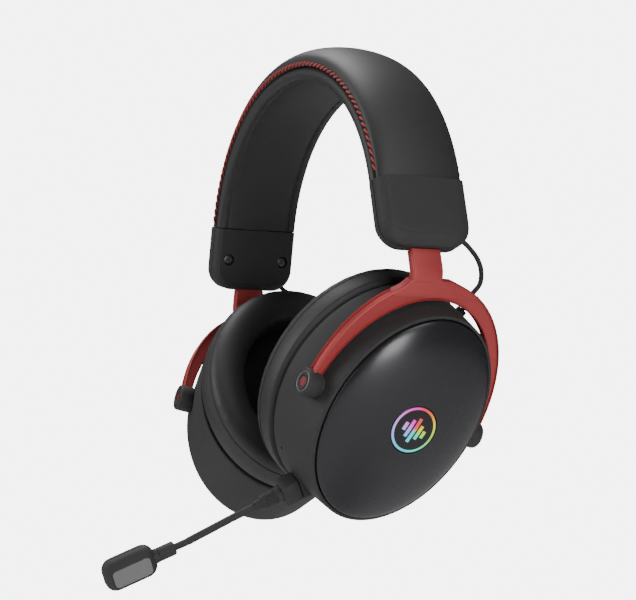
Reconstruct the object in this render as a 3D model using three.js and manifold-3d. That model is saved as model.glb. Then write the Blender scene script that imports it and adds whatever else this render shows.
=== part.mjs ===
// A wireless over-ear gaming headset: a padded headband on a spring strip, two sliding fork yokes,
// two tilting ear cups and a plug-in boom microphone.
//
// Millimetres. +Z is up, +X is the wearer's left and -Y is forward. The origin is the middle of the
// headband pad's underside, where the headset rests on the head or on a stand's hook.
import * as THREE from "three";
import { mergeVertices } from "three/addons/utils/BufferGeometryUtils.js";
import Module from "manifold-3d";

const wasm = await Module();
wasm.setup();
const degrees = Math.PI / 180;

// ---------------------------------------------------------------- driving dimensions

const gap = 0.3; // between pieces that touch or slide on each other
const slip = 0.25; // round a pin, a button or a plug in its hole

// The pad's underside follows a superellipse in the XZ plane, down to where the legs meet the end caps.
const arch = { halfWidth: 70, height: 69, squareness: 2.06, legDrop: 52.3, steps: 35 };

const pad = { halfWidth: 18.4, flatHalfWidth: 10, edgeRise: 0.7, thickness: 5.7 };
const strip = { halfWidth: 10, thickness: 1.2, endLength: 9 };
const cover = { halfWidth: 18.9, seamHeight: 1.3, crown: 8.2, legCrown: 4.4, crownPoints: 8 };

const endCap = {
  halfWidth: 19.3, height: 27.6, underside: 0.4, thickness: 12.6, wall: 1.8,
  cornerRadius: 9, chamfer: 2, parting: 4.75,
};
const capScrew = {
  spread: 13.2, height: 13.5, headRadius: 2.2, headHeight: 1.4, sink: 0.6,
  shankRadius: 1, length: 7, bossWall: 1.2,
};

const blade = { halfWidth: 6, thickness: 2, inset: 2.2, reach: 10.5 };
const neck = { halfWidth: 6.6, thickness: 4, drop: 9.6 };
const fork = {
  tilt: 27.3 * degrees, // of the fork and the cup from upright, bottom inward
  length: 57, // from the neck's bend down to the middle of the pivot axis
  forward: 1.8, // of the pivot middle from the neck
  innerHalfWidth: 37.2, innerHalfHeight: 48.4,
  thickness: 4.5, tipWidth: 4.2, rearShoulder: 5.4, frontShoulder: 10,
  // Where the neck's flares meet the arms, and how far each runs straight from the neck and from the arm.
  frontFlare: { merge: 133 * degrees, fromNeck: 2.1, fromArm: 5.6 },
  rearFlare: { merge: 86 * degrees, fromNeck: 1.2, fromArm: 8 },
};
const pivot = {
  lean: 14.9 * degrees, // the rear pivot is lower than the front one
  barrelRadius: 5.5, barrelStart: 36.7, barrelEnd: 43, endWall: 1.3,
  pinRadius: 1.1, headRadius: 2.1, headHeight: 0.6, pinRoot: 30.5,
  bossRadius: 4.6, bossRoot: 34.2,
};

// Each cup is a stack along its own X axis, which points outward through the middle of the cover plate.
const cup = {
  lean: 24.2 * degrees, // of the cup's long axis, top rearward
  flangeX: -18.7, flangeHalfWidth: 39.2, floorX: 5.4, floorThickness: 1.8,
  rimX: 10.3, rimHalfWidth: 34.2, wall: 2.2, lip: 1.3,
  coreRadius: 24, // inside it every oval shrinks in proportion; outside it ovals are offsets
  cushionStretch: 7.7, plateStretch: 11.1, // long half-axis less short half-axis
  segments: 40,
};
const plate = { edgeX: 11.1, rise: 8.9, thickness: 1.8, skirt: 2.6, emblemHole: 10.2 };
const emblem = { radius: 9.9, height: 2.4, stemRadius: 5 };
const ledBoard = { radius: 13, thickness: 1.4 };
const baffle = { thickness: 2.4, inset: 1.2, recess: 0.9, soundHole: 20.5 };
const cloth = { halfWidth: 27, thickness: 0.5 };
const driver = {
  flangeRadius: 25, flangeThickness: 1.4, bodyRadius: 20, depth: 11, wall: 1,
  magnetRadius: 9.5, magnetHeight: 4, coneRadius: 18.7, coneThickness: 0.6,
};
const cushion = { halfWidth: 40.1, openingHalfWidth: 24.6, sideHeight: 9.8, crown: 5.8 };
const board = { length: 40, width: 24, thickness: 1.6, below: 18 };
const battery = { length: 34, width: 20, thickness: 5.6, below: 26 };

// Controls round the left cup's rim: x across the wall's width, angle from the cup's rearward short axis.
const port = { x: -3, angle: 276 * degrees, length: 9, width: 3.4, depth: 6 };
const buttons = {
  power: { x: -3, angle: 299 * degrees, length: 8, width: 4, depth: 4, proud: 0.8 },
  mute: { x: -3, angle: 318 * degrees, length: 6, width: 4, depth: 4, proud: 0.8 },
};
const wheel = { x: -3, angle: 338 * degrees, radius: 7, thickness: 3, proud: 1.5, knurls: 24 };
const pinhole = { x: -13, angle: 231 * degrees, radius: 0.6, depth: 1 };

const mic = {
  x: -7.6, angle: 253.2 * degrees, aim: 233.3 * degrees, // where it plugs in and where it points
  boomTurn: 1.5 * degrees, headTurn: -4.4 * degrees, // the boom's slight bends at rest
  seat: { top: 1.4, depth: 5.4 },
  block: { length: 7.1, width: 9.6, thickness: 8.6 }, shoulder: { radius: 3.4, length: 2.7 },
  collar: { radius: 3.1, length: 6.1 }, neckRing: { radius: 2.1, length: 3.5 },
  jack: { radius: 1.75, length: 9 }, socket: { size: 6.6, length: 10 },
  boomRadius: 1.4, lowerBoom: 10, upperBoom: 19, headShaft: 5.8,
  sleeve: { radius: 2.8, length: 8.4 },
  head: { length: 21.4, width: 13.4, thickness: 9, cornerRadius: 4.6, chamfer: 2.4, screenInset: 1.1 },
};

const lead = {
  radius: 1, sides: 8, upperSteps: 16, lowerSteps: 6, glandRadius: 2.2, glandHeight: 1.6,
  capX: 7.5, glandX: -6.5, glandAngle: 80 * degrees,
};
// Where each lead runs between its ends, in the part's frame, on the left side: out of the cap's rear
// corner, out to the rear in a loop, and down behind the fork's rear flare to the top of the cup.
const upperLeadRoute = [[79.6, 23.2, -80.3], [77.9, 26, -84.1], [76.2, 27.1, -88.1], [74.6, 26.8, -90.9]];
const leadMiddle = [72.9, 24.6, -93.9];
const lowerLeadRoute = [[70.6, 24.7, -95.6]];

// ---------------------------------------------------------------- finishes

const finish = (color, roughness, metalness = 0) =>
  new THREE.MeshStandardMaterial({ color, roughness, metalness });
const leatherette = () => finish(0x242424, 0.55);
const satinBlack = () => finish(0x1d1d1f, 0.42);
const glossBlack = () => finish(0x161617, 0.28);
const redMetal = () => finish(0xb1322f, 0.4, 0.2);
const darkSteel = () => finish(0x3a3b3d, 0.35, 0.9);
const brightSteel = () => finish(0xb9bcc0, 0.3, 0.9);
const clothBlack = () => finish(0x1a1a1a, 0.95);
const circuit = () => finish(0x1f4a33, 0.5);
const frosted = () => finish(0xe04fd0, 0.35);
const foil = () => finish(0x9aa4ad, 0.4, 0.3);
const film = () => finish(0xc9b98a, 0.4);
const rubber = () => finish(0x151515, 0.8);

// ---------------------------------------------------------------- solids

// A closed geometry as a solid for joining and cutting, turned the right way out.
function solid(geometry) {
  let bare = geometry.clone();
  bare.deleteAttribute("normal");
  bare.deleteAttribute("uv");
  bare = mergeVertices(bare, 1e-4);
  const vertProperties = new Float32Array(bare.attributes.position.array);
  const triVerts = new Uint32Array(bare.index.array);
  let made = new wasm.Manifold(new wasm.Mesh({ numProp: 3, vertProperties, triVerts }));
  if (made.volume() < 0) {
    for (let i = 0; i < triVerts.length; i += 3) {
      [triVerts[i + 1], triVerts[i + 2]] = [triVerts[i + 2], triVerts[i + 1]];
    }
    made = new wasm.Manifold(new wasm.Mesh({ numProp: 3, vertProperties, triVerts }));
  }
  return made;
}

function geometryOf(body) {
  const { vertProperties, triVerts } = body.getMesh();
  const geometry = new THREE.BufferGeometry();
  geometry.setAttribute("position", new THREE.BufferAttribute(vertProperties, 3));
  geometry.setIndex(new THREE.BufferAttribute(triVerts, 1));
  geometry.computeVertexNormals();
  return geometry;
}

const cut = (body, ...tools) => tools.reduce((rest, tool) => rest.subtract(tool), body);
const join = (body, ...more) => more.reduce((sum, piece) => sum.add(piece), body);

function named(name, shape, material) {
  const geometry = shape.isBufferGeometry ? geometryOf(solid(shape)) : geometryOf(shape);
  const mesh = new THREE.Mesh(geometry, material);
  mesh.name = name;
  return mesh;
}

// Moves every vertex of a geometry through a function of its coordinates.
function warp(geometry, move) {
  const position = geometry.attributes.position;
  for (let i = 0; i < position.count; i++) {
    position.setXYZ(i, ...move(position.getX(i), position.getY(i), position.getZ(i)));
  }
  return geometry;
}

const polygon = (points) => new THREE.Shape(points.map(([x, y]) => new THREE.Vector2(x, y)));

// A box from its low corner to its high corner.
function block(low, high) {
  const size = high.map((value, axis) => value - low[axis]);
  const middle = high.map((value, axis) => (value + low[axis]) / 2);
  return new THREE.BoxGeometry(...size).translate(...middle);
}

// A cylinder along X, Y or Z between two places on that axis, through (a, b) of the other two in order.
function rod(axis, from, to, radius, [a, b] = [0, 0], sides = 20) {
  const made = new THREE.CylinderGeometry(radius, radius, to - from, sides);
  const middle = (from + to) / 2;
  if (axis === "x") return made.rotateZ(-Math.PI / 2).translate(middle, a, b);
  if (axis === "z") return made.rotateX(Math.PI / 2).translate(a, b, middle);
  return made.translate(a, middle, b);
}

// An outline drawn in a piece's YZ plane, extruded along its X axis between two places.
function slab(shape, from, to, chamfer = 0) {
  const settings = {
    depth: to - from - 2 * chamfer, curveSegments: 6, bevelEnabled: chamfer > 0,
    bevelThickness: chamfer, bevelSize: chamfer, bevelOffset: -chamfer, bevelSegments: 1,
  };
  const made = new THREE.ExtrudeGeometry(shape, settings);
  return warp(made, (y, z, x) => [x + from + chamfer, y, z]);
}

// A profile of [x, radius] points turned about the X axis.
function turned(profile, sides = 28) {
  const points = profile.map(([x, radius]) => new THREE.Vector2(radius, x));
  return warp(new THREE.LatheGeometry(points, sides), (x, y, z) => [y, z, x]);
}

// ---------------------------------------------------------------- the headband's arch

// How far a superellipse's quarter has run, from 0 at the top to 1 at the end of the leg.
const legAngle = Math.acos(((arch.height - arch.legDrop) / arch.height) ** (arch.squareness / 2));

// An odd number of steps puts a flat facet across the top, and the arch is raised to bring it to zero.
const facetDrop = arch.height * (1 - Math.cos(legAngle / arch.steps) ** (2 / arch.squareness));

// The place and outward normal on the pad's underside: station 0 is the top, 1 and -1 the leg ends.
function archPlace(station) {
  const angle = Math.abs(station) * legAngle;
  const sideways = Math.sin(angle) ** (2 / arch.squareness);
  const upward = Math.cos(angle) ** (2 / arch.squareness);
  const slopeX = sideways ** (arch.squareness - 1) / arch.halfWidth;
  const slopeZ = upward ** (arch.squareness - 1) / arch.height;
  const length = Math.hypot(slopeX, slopeZ);
  const side = Math.sign(station);
  return {
    x: side * arch.halfWidth * sideways,
    z: arch.height * (upward - 1) + facetDrop,
    normalX: (side * slopeX) / length,
    normalZ: slopeZ / length,
  };
}

const legEnd = archPlace(1);
const legTilt = Math.atan2(legEnd.normalZ, legEnd.normalX);

// A cross-section of [y, height above the underside] points, carried along the arch. An overrun carries
// it straight on down both legs. The section's height may change with the station.
function alongArch(section, overrun = 0, heightAt = (height) => height) {
  const extra = overrun > 0 ? 1 : 0;
  const count = arch.steps + 1 + 2 * extra;
  const made = new THREE.ExtrudeGeometry(polygon(section), {
    depth: count - 1, steps: count - 1, bevelEnabled: false,
  });
  return warp(made, (y, height, ring) => {
    const step = THREE.MathUtils.clamp(Math.round(ring) - extra, 0, arch.steps);
    const station = (2 * step) / arch.steps - 1;
    const place = archPlace(station);
    const outward = heightAt(height, station);
    const beyond = Math.round(ring) - extra === step ? 0 : overrun;
    const side = Math.sign(station);
    return [
      place.x + place.normalX * outward + side * place.normalZ * beyond,
      y,
      place.z + place.normalZ * outward - Math.abs(place.normalX) * beyond,
    ];
  });
}

const stripBase = pad.thickness + gap;
const stripTop = stripBase + strip.thickness;
const seamTop = stripBase + cover.seamHeight;
const bladeTop = blade.inset + blade.thickness;

function headbandPad() {
  const low = [[-pad.flatHalfWidth, 0], [pad.flatHalfWidth, 0]];
  const right = [[pad.halfWidth - 0.8, pad.edgeRise], [pad.halfWidth, 3], [pad.halfWidth, pad.thickness]];
  const left = right.map(([y, height]) => [-y, height]).reverse();
  const foam = solid(alongArch([...low, ...right, ...left]));
  const pocket = block(
    [blade.inset - 2 * gap, -blade.halfWidth - 3 * gap, -1],
    [pad.thickness + 2, blade.halfWidth + 3 * gap, blade.reach + 2 * gap],
  );
  const pockets = [1, -1].map((side) => solid(pocket.clone().applyMatrix4(legMatrix(side))));
  return named("headband_pad", cut(foam, ...pockets), leatherette());
}

function headbandStrip() {
  const half = strip.halfWidth;
  const section = [[-half, stripBase], [half, stripBase], [half, stripTop], [-half, stripTop]];
  return named("headband_spring", alongArch(section, strip.endLength), darkSteel());
}

// The crown stands high in the middle and flattens towards the end caps.
function headbandCover() {
  const seat = strip.halfWidth + gap;
  const crown = [];
  for (let i = 0; i <= cover.crownPoints; i++) {
    const turn = (Math.PI * i) / cover.crownPoints;
    crown.push([cover.halfWidth * Math.cos(turn), seamTop + cover.crown * Math.sin(turn) ** 0.9]);
  }
  const base = [
    [-pad.halfWidth, stripBase], [-seat, stripBase], [-seat, stripTop + gap],
    [seat, stripTop + gap], [seat, stripBase], [pad.halfWidth, stripBase],
  ];
  const heightAt = (height, station) => {
    const share = 1 - (1 - cover.legCrown / cover.crown) * Math.abs(station) ** 3;
    return height <= seamTop ? height : seamTop + (height - seamTop) * share;
  };
  return named("headband_cover", alongArch([...base, ...crown], 0, heightAt), leatherette());
}

// ---------------------------------------------------------------- places on one side

// A leg's own frame: X outward through the cap, Y rearward, Z up along the leg, origin at the pad's end.
function legMatrix(side = 1) {
  const turn = new THREE.Matrix4().makeRotationY(-legTilt);
  turn.setPosition(legEnd.x, 0, legEnd.z);
  return new THREE.Matrix4().makeScale(side, 1, 1).multiply(turn);
}

const neckMiddle = blade.inset + neck.thickness / 2;
const bend = new THREE.Vector3(neckMiddle, 0, -endCap.height - neck.drop).applyMatrix4(legMatrix());
const pivotMiddle = new THREE.Vector3(
  bend.x - fork.length * Math.sin(fork.tilt), -fork.forward, bend.z - fork.length * Math.cos(fork.tilt),
);

// A frame at the middle of the pivot axis, tilted with the fork and leaning back by an angle.
function leanMatrix(lean) {
  const tilt = new THREE.Matrix4().makeRotationY(fork.tilt).setPosition(pivotMiddle);
  return tilt.multiply(new THREE.Matrix4().makeRotationX(-lean));
}
const earMatrix = leanMatrix(cup.lean);
const pivotMatrix = leanMatrix(pivot.lean);
const pivotInEar = new THREE.Matrix4().makeRotationX(cup.lean - pivot.lean);

// ---------------------------------------------------------------- end caps

function capOutline(inset = 0) {
  const half = endCap.halfWidth - inset;
  const low = -endCap.height + inset;
  const round = endCap.cornerRadius - inset;
  const shape = new THREE.Shape();
  shape.moveTo(-half, 4);
  shape.lineTo(-half, low + round);
  shape.absarc(-half + round, low + round, round, Math.PI, 1.5 * Math.PI);
  shape.lineTo(half - round, low);
  shape.absarc(half - round, low + round, round, 1.5 * Math.PI, 2 * Math.PI);
  shape.lineTo(half, 4);
  return shape;
}

const capUnderside = -endCap.underside;
const capOutside = endCap.thickness - endCap.underside;
const screwPlaces = [-capScrew.spread, capScrew.spread].map((y) => [y, capScrew.height - endCap.height]);
const screwSeat = capUnderside + capScrew.sink + capScrew.headHeight;
// The lead leaves the cap through the middle of its rounded rear corner.
const capCorner = new THREE.Vector3(
  lead.capX,
  endCap.halfWidth - endCap.cornerRadius * (1 - Math.SQRT1_2),
  -endCap.height + endCap.cornerRadius * (1 - Math.SQRT1_2),
);

function leadHole() {
  const hole = rod("z", -3, 1, lead.radius + slip, [0, 0], 10);
  return solid(hole.rotateX(-Math.PI * 0.75).translate(capCorner.x, capCorner.y, capCorner.z));
}

function endCapShells() {
  const body = solid(slab(capOutline(), capUnderside, capOutside, endCap.chamfer));
  const hollow = solid(slab(capOutline(endCap.wall), endCap.wall - endCap.underside, capOutside - endCap.wall));
  const wide = endCap.halfWidth + 1;
  const innerHalf = block([capUnderside - 1, -wide, -endCap.height - 1], [endCap.parting - gap / 2, wide, -gap]);
  const outerHalf = block([endCap.parting + gap / 2, -wide, -endCap.height - 1], [capOutside + 1, wide, -gap]);
  const shell = cut(body, hollow);

  const wallRadius = capScrew.headRadius + slip + capScrew.bossWall;
  const boreRadius = capScrew.shankRadius + slip;
  const innerBosses = screwPlaces.map((at) => solid(rod("x", 0.5, endCap.parting - gap / 2, wallRadius, at)));
  const outerBosses = screwPlaces.map((at) =>
    solid(rod("x", endCap.parting + gap / 2, capOutside - 1, boreRadius + capScrew.bossWall, at)));
  const seats = screwPlaces.map((at) =>
    solid(rod("x", capUnderside - 1, screwSeat + gap, capScrew.headRadius + slip, at)));
  const bores = screwPlaces.map((at) =>
    solid(rod("x", capUnderside, screwSeat + capScrew.length + gap, boreRadius, at)));
  const slot = solid(block(
    [blade.inset - gap, -blade.halfWidth - gap, -endCap.height - 1],
    [endCap.parting, blade.halfWidth + gap, -endCap.height + 2 * endCap.wall],
  ));
  const inner = join(shell.intersect(solid(innerHalf)), ...innerBosses);
  const outer = join(shell.intersect(solid(outerHalf)), ...outerBosses);
  return [
    ["end_cap_inner", cut(inner, ...seats, ...bores, slot)],
    ["end_cap_outer", cut(outer, ...bores, leadHole())],
  ];
}

function capScrews() {
  return screwPlaces.map((at) => {
    const head = solid(rod("x", capUnderside + capScrew.sink, screwSeat, capScrew.headRadius, at, 16));
    const shank = rod("x", screwSeat - 0.2, screwSeat + capScrew.length, capScrew.shankRadius, at, 12);
    return join(head, solid(shank));
  });
}

function endCaps(side) {
  const group = new THREE.Group();
  group.applyMatrix4(legMatrix());
  for (const [name, shape] of endCapShells()) group.add(named(`${name}_${side}`, shape, satinBlack()));
  const places = ["front", "rear"];
  capScrews().forEach((shape, i) => group.add(named(`cap_screw_${places[i]}_${side}`, shape, darkSteel())));
  return group;
}

// ---------------------------------------------------------------- the yoke

// A point on the fork's inner oval, moved outward by an amount, in the cup's YZ plane.
function forkPoint(angle, out) {
  const y = fork.innerHalfWidth * Math.cos(angle);
  const z = fork.innerHalfHeight * Math.sin(angle);
  const normalY = Math.cos(angle) / fork.innerHalfWidth;
  const normalZ = Math.sin(angle) / fork.innerHalfHeight;
  const length = Math.hypot(normalY, normalZ);
  return [y + (out * normalY) / length, z + (out * normalZ) / length];
}

const tipSwing = cup.lean - pivot.lean;
const rearTip = Math.atan2(
  Math.sin(tipSwing) / fork.innerHalfHeight, Math.cos(tipSwing) / fork.innerHalfWidth,
);
const tipOverrun = 3.6 / fork.innerHalfHeight; // the arms run on past the pin to make its eye

// The arms widen smoothly from their tips to the shoulders, the front one more than the rear one.
function armWidth(angle) {
  const along = angle - rearTip;
  const shoulder = fork.rearShoulder + ((fork.frontShoulder - fork.rearShoulder) * (1 - Math.cos(along))) / 2;
  return fork.tipWidth + (shoulder - fork.tipWidth) * Math.max(Math.sin(along), 0) ** 1.5;
}

// The control points of a flare that leaves the neck's side and meets the arm's outer edge smoothly.
function flareCurve(start, down, { merge, fromNeck, fromArm }) {
  const meet = forkPoint(merge, armWidth(merge));
  const toNeck = forkPoint(merge + 0.01 * Math.sign(Math.PI / 2 + cup.lean - merge), armWidth(merge));
  const along = [toNeck[0] - meet[0], toNeck[1] - meet[1]];
  const length = Math.hypot(...along);
  return [
    start[0] + down[0] * fromNeck, start[1] + down[1] * fromNeck,
    meet[0] + (along[0] / length) * fromArm, meet[1] + (along[1] / length) * fromArm,
    ...meet,
  ];
}

// The flat fork in the cup's YZ plane: two arms round the cup, joined under the neck.
function forkShape(extra = 0) {
  const steps = 26;
  const overrun = tipOverrun + extra / fork.innerHalfHeight;
  const first = rearTip - overrun;
  const last = rearTip + Math.PI + overrun;
  const angleAt = (i) => first + ((last - first) * i) / steps;
  const inner = [];
  for (let i = 0; i <= steps; i++) inner.push(forkPoint(angleAt(i), -extra));

  const up = [-Math.sin(cup.lean), Math.cos(cup.lean)];
  const rearward = [Math.cos(cup.lean), Math.sin(cup.lean)];
  const top = [0, 1].map((i) => fork.forward * rearward[i] + fork.length * up[i]);
  const corner = (sign) => [0, 1].map((i) => top[i] + sign * neck.halfWidth * rearward[i]);
  const down = up.map((value) => -value);
  const front = flareCurve(corner(-1), down, fork.frontFlare);
  const rear = flareCurve(corner(1), down, fork.rearFlare);

  const shape = new THREE.Shape();
  shape.moveTo(...inner[0]);
  for (const point of inner.slice(1)) shape.lineTo(...point);
  for (let i = steps; i >= 0; i--) {
    const angle = angleAt(i);
    if (angle > fork.frontFlare.merge) shape.lineTo(...forkPoint(angle, armWidth(angle) + extra));
  }
  shape.lineTo(front[4], front[5]);
  shape.bezierCurveTo(front[2], front[3], front[0], front[1], ...corner(-1));
  shape.lineTo(...corner(1));
  shape.bezierCurveTo(...rear);
  for (let i = steps; i >= 0; i--) {
    const angle = angleAt(i);
    if (angle < fork.rearFlare.merge) shape.lineTo(...forkPoint(angle, armWidth(angle) + extra));
  }
  return shape;
}

// A length of rod on the pivot axis at the front or the rear, in the cup's frame.
function onPivot(sign, from, to, radius, sides = 20) {
  const made = rod("y", Math.min(sign * from, sign * to), Math.max(sign * from, sign * to), radius, [0, 0], sides);
  return solid(made.applyMatrix4(pivotInEar));
}

function forkSolid(extra = 0) {
  const half = fork.thickness / 2 + extra;
  return solid(slab(forkShape(extra), -half, half));
}

function yokeSolid() {
  const toEar = earMatrix.clone().invert().multiply(legMatrix());
  const neckTop = -endCap.height - gap;
  const bendHeight = -endCap.height - neck.drop;
  const neckBlock = block(
    [blade.inset, -neck.halfWidth, bendHeight],
    [blade.inset + neck.thickness, neck.halfWidth, neckTop],
  );
  const bladeBlock = block(
    [blade.inset, -blade.halfWidth, bendHeight],
    [bladeTop, blade.halfWidth, blade.reach],
  );
  const knuckle = rod(
    "y", -neck.halfWidth, neck.halfWidth, fork.thickness / 2, [neckMiddle, bendHeight], 24,
  );
  const above = [neckBlock, bladeBlock, knuckle].map((piece) => solid(piece.applyMatrix4(toEar)));
  const eyes = [1, -1].map((sign) => onPivot(sign, pivot.bossRoot, pivot.barrelEnd, pivot.pinRadius + slip));
  return cut(join(forkSolid(), ...above), ...eyes);
}

function barrelSolid(sign) {
  const body = onPivot(sign, pivot.barrelStart, pivot.barrelEnd, pivot.barrelRadius, 28);
  const recess = pivot.barrelEnd - pivot.endWall;
  return cut(
    body,
    forkSolid(gap),
    onPivot(sign, pivot.barrelStart - 1, pivot.barrelEnd, pivot.pinRadius + slip),
    onPivot(sign, recess, pivot.barrelEnd + 1, pivot.headRadius + slip, 24),
  );
}

function pinSolid(sign) {
  const headEnd = pivot.barrelEnd - gap;
  const headStart = headEnd - pivot.headHeight;
  return join(
    onPivot(sign, pivot.pinRoot, headStart + 0.1, pivot.pinRadius, 16),
    onPivot(sign, headStart, headEnd, pivot.headRadius, 20),
  );
}

const ends = [["front", -1], ["rear", 1]];

function yoke(side) {
  const group = new THREE.Group();
  group.applyMatrix4(earMatrix);
  group.add(named(`yoke_${side}`, yokeSolid(), redMetal()));
  for (const [end, sign] of ends) {
    group.add(named(`pivot_barrel_${end}_${side}`, barrelSolid(sign), satinBlack()));
  }
  return group;
}

// ---------------------------------------------------------------- ear cups

// How much longer than wide the cup's ovals are, at a place along the cup's X axis.
function stretchAt(x) {
  const share = THREE.MathUtils.clamp((x - cup.flangeX) / (cup.rimX - cup.flangeX), 0, 1);
  return cup.cushionStretch + (cup.plateStretch - cup.cushionStretch) * share;
}

// A profile of [x, half-width] points carried round the cup's oval.
function oval(profile, sides = cup.segments) {
  const points = profile.map(([x, half]) => new THREE.Vector2(half, x));
  return warp(new THREE.LatheGeometry(points, sides), (sine, x, cosine) => {
    const half = Math.hypot(sine, cosine);
    const stretch = stretchAt(x);
    const longHalf = half >= cup.coreRadius ? half + stretch : (half * (cup.coreRadius + stretch)) / cup.coreRadius;
    return [x, cosine, half > 0 ? (sine * longHalf) / half : 0];
  });
}

// The housing's outer half-width: nearly straight from the flange, rounding in towards the rim.
function wallHalfWidth(x) {
  const share = (x - cup.flangeX) / (cup.rimX - cup.flangeX);
  return cup.flangeHalfWidth - (cup.flangeHalfWidth - cup.rimHalfWidth) * share ** 1.15;
}

// A frame on the housing's wall: X round the rim, Y along the cup's X axis, Z straight out.
function wallMatrix(x, angle, aim) {
  const half = wallHalfWidth(x);
  const longHalf = half + stretchAt(x);
  const out = aim ?? Math.atan2(Math.sin(angle) / longHalf, Math.cos(angle) / half);
  const round = new THREE.Vector3(0, -Math.sin(out), Math.cos(out));
  const outward = new THREE.Vector3(0, Math.cos(out), Math.sin(out));
  const frame = new THREE.Matrix4().makeBasis(round, new THREE.Vector3(1, 0, 0), outward);
  return frame.setPosition(x, half * Math.cos(angle), longHalf * Math.sin(angle));
}

const onWall = (geometry, x, angle, aim) => solid(geometry.clone().applyMatrix4(wallMatrix(x, angle, aim)));

function controlBlock({ length, width, depth, proud }, grow = 0) {
  return block(
    [-length / 2 - grow, -width / 2 - grow, -depth - grow],
    [length / 2 + grow, width / 2 + grow, proud + 4 * grow],
  );
}

// A button has a wider flange behind the wall, so that it can't fall out.
function button(size) {
  const reach = [size.length / 2 + 0.8, size.width / 2 + 0.8];
  const flange = block([-reach[0], -reach[1], -size.depth], [reach[0], reach[1], -size.depth + 0.8]);
  return join(onWall(controlBlock(size), size.x, size.angle), onWall(flange, size.x, size.angle));
}

// The wheel turns about an axis parallel to the cup's X axis and shows a little of its rim.
function wheelDisc(grow = 0) {
  const half = wheel.thickness / 2 + grow;
  return rod("y", -half, half, wheel.radius + grow, [0, wheel.proud - wheel.radius], wheel.knurls);
}

const wallPoint = (x, angle) => new THREE.Vector3().setFromMatrixPosition(wallMatrix(x, angle));

// A flat seat for the microphone's plug, square to the plug, standing out of the sloping wall.
function micSeat() {
  const { width, thickness } = mic.block;
  return block([-width / 2, -thickness / 2, mic.seat.top - mic.seat.depth], [width / 2, thickness / 2, mic.seat.top]);
}

function leftWallCuts() {
  const portHole = block(
    [-port.length / 2 - gap, -port.width / 2 - gap, -port.depth - gap],
    [port.length / 2 + gap, port.width / 2 + gap, 3],
  );
  const jackHole = rod("z", -mic.socket.length, 6, mic.jack.radius + slip, [0, 0], 16);
  return [
    onWall(portHole, port.x, port.angle),
    ...Object.values(buttons).map((button) => onWall(controlBlock(button, slip), button.x, button.angle)),
    onWall(wheelDisc(slip), wheel.x, wheel.angle),
    onWall(jackHole, mic.x, mic.angle, mic.aim),
    onWall(rod("z", -pinhole.depth, 2, pinhole.radius, [0, 0], 8), pinhole.x, pinhole.angle),
  ];
}

function housing(side) {
  const outer = [];
  const rows = 6;
  for (let i = 0; i <= rows; i++) {
    const x = cup.flangeX + ((cup.rimX - cup.flangeX) * i) / rows;
    outer.push([x, wallHalfWidth(x)]);
  }
  const floorTop = cup.floorX + cup.floorThickness;
  const inner = [
    [cup.rimX, cup.rimHalfWidth - cup.lip],
    [floorTop, cup.rimHalfWidth - cup.lip],
    [floorTop, 0],
    [cup.floorX, 0],
    [cup.floorX, wallHalfWidth(cup.floorX) - cup.wall],
    [cup.flangeX, cup.flangeHalfWidth - cup.wall],
  ];
  // The profile runs from the axis on the floor's outer side, round the wall, to the axis inside.
  const profile = [...inner.slice(0, 3).reverse(), ...outer.reverse(), ...inner.slice(3).reverse()];
  const gland = rod("z", -1, lead.glandHeight, lead.glandRadius, [0, 0], 14);
  const leadWay = rod("z", -cup.wall - 3, lead.glandHeight + 1, lead.radius + slip, [0, 0], 10);
  const wireWay = rod("x", cup.floorX - 1, floorTop + 1, 2.5, [0, 17], 12);
  const bosses = ends.map(([, sign]) =>
    onPivot(sign, pivot.bossRoot, pivot.barrelStart - gap, pivot.bossRadius, 20));
  const bores = ends.map(([, sign]) =>
    onPivot(sign, pivot.pinRoot - 1, pivot.barrelStart, pivot.pinRadius + slip, 16));
  const pockets = ends.map(([, sign]) =>
    onPivot(sign, pivot.barrelStart - gap, pivot.barrelEnd, pivot.barrelRadius + 2 * gap, 28));
  const joined = [onWall(gland, lead.glandX, lead.glandAngle), ...bosses];
  if (side === "left") joined.push(onWall(micSeat(), mic.x, mic.angle, mic.aim));
  const whole = join(solid(oval(profile)), ...joined);
  const cuts = [...pockets, ...bores, onWall(leadWay, lead.glandX, lead.glandAngle), solid(wireWay)];
  if (side === "left") cuts.push(...leftWallCuts());
  return named(`cup_housing_${side}`, cut(whole, ...cuts), satinBlack());
}

const plateHalfWidth = cup.rimHalfWidth - cup.lip - gap;
// The plate's dome: steep at its edge and nearly flat in the middle.
const domeX = (half, lift = 0) => plate.edgeX - lift + plate.rise * (1 - (half / plateHalfWidth) ** 2) ** 0.8;

function coverPlate(side) {
  const rows = 7;
  const dome = [];
  for (let i = 0; i <= rows; i++) {
    const half = plateHalfWidth * Math.sin((Math.PI * i) / (2 * rows));
    dome.push([half, domeX(half)]);
  }
  const outer = dome.map(([half, x]) => [x, half]);
  const under = dome.map(([half, x]) => [
    x - plate.thickness, (half * (plateHalfWidth - plate.thickness)) / plateHalfWidth,
  ]);
  const foot = plate.edgeX - plate.skirt;
  const profile = [
    ...outer, [foot, plateHalfWidth], [foot, plateHalfWidth - plate.thickness], ...under.reverse(),
  ];
  const ratio = 1 + stretchAt(foot) / plateHalfWidth;
  const dish = warp(turned(profile, cup.segments), (x, y, z) => [x, y, z * ratio]);
  const hole = rod("x", plate.edgeX, plate.edgeX + plate.rise + 1, plate.emblemHole, [0, 0], 32);
  return named(`cover_plate_${side}`, cut(solid(dish), solid(hole)), glossBlack());
}

const ledBoardX = cup.floorX + cup.floorThickness + gap;

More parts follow.
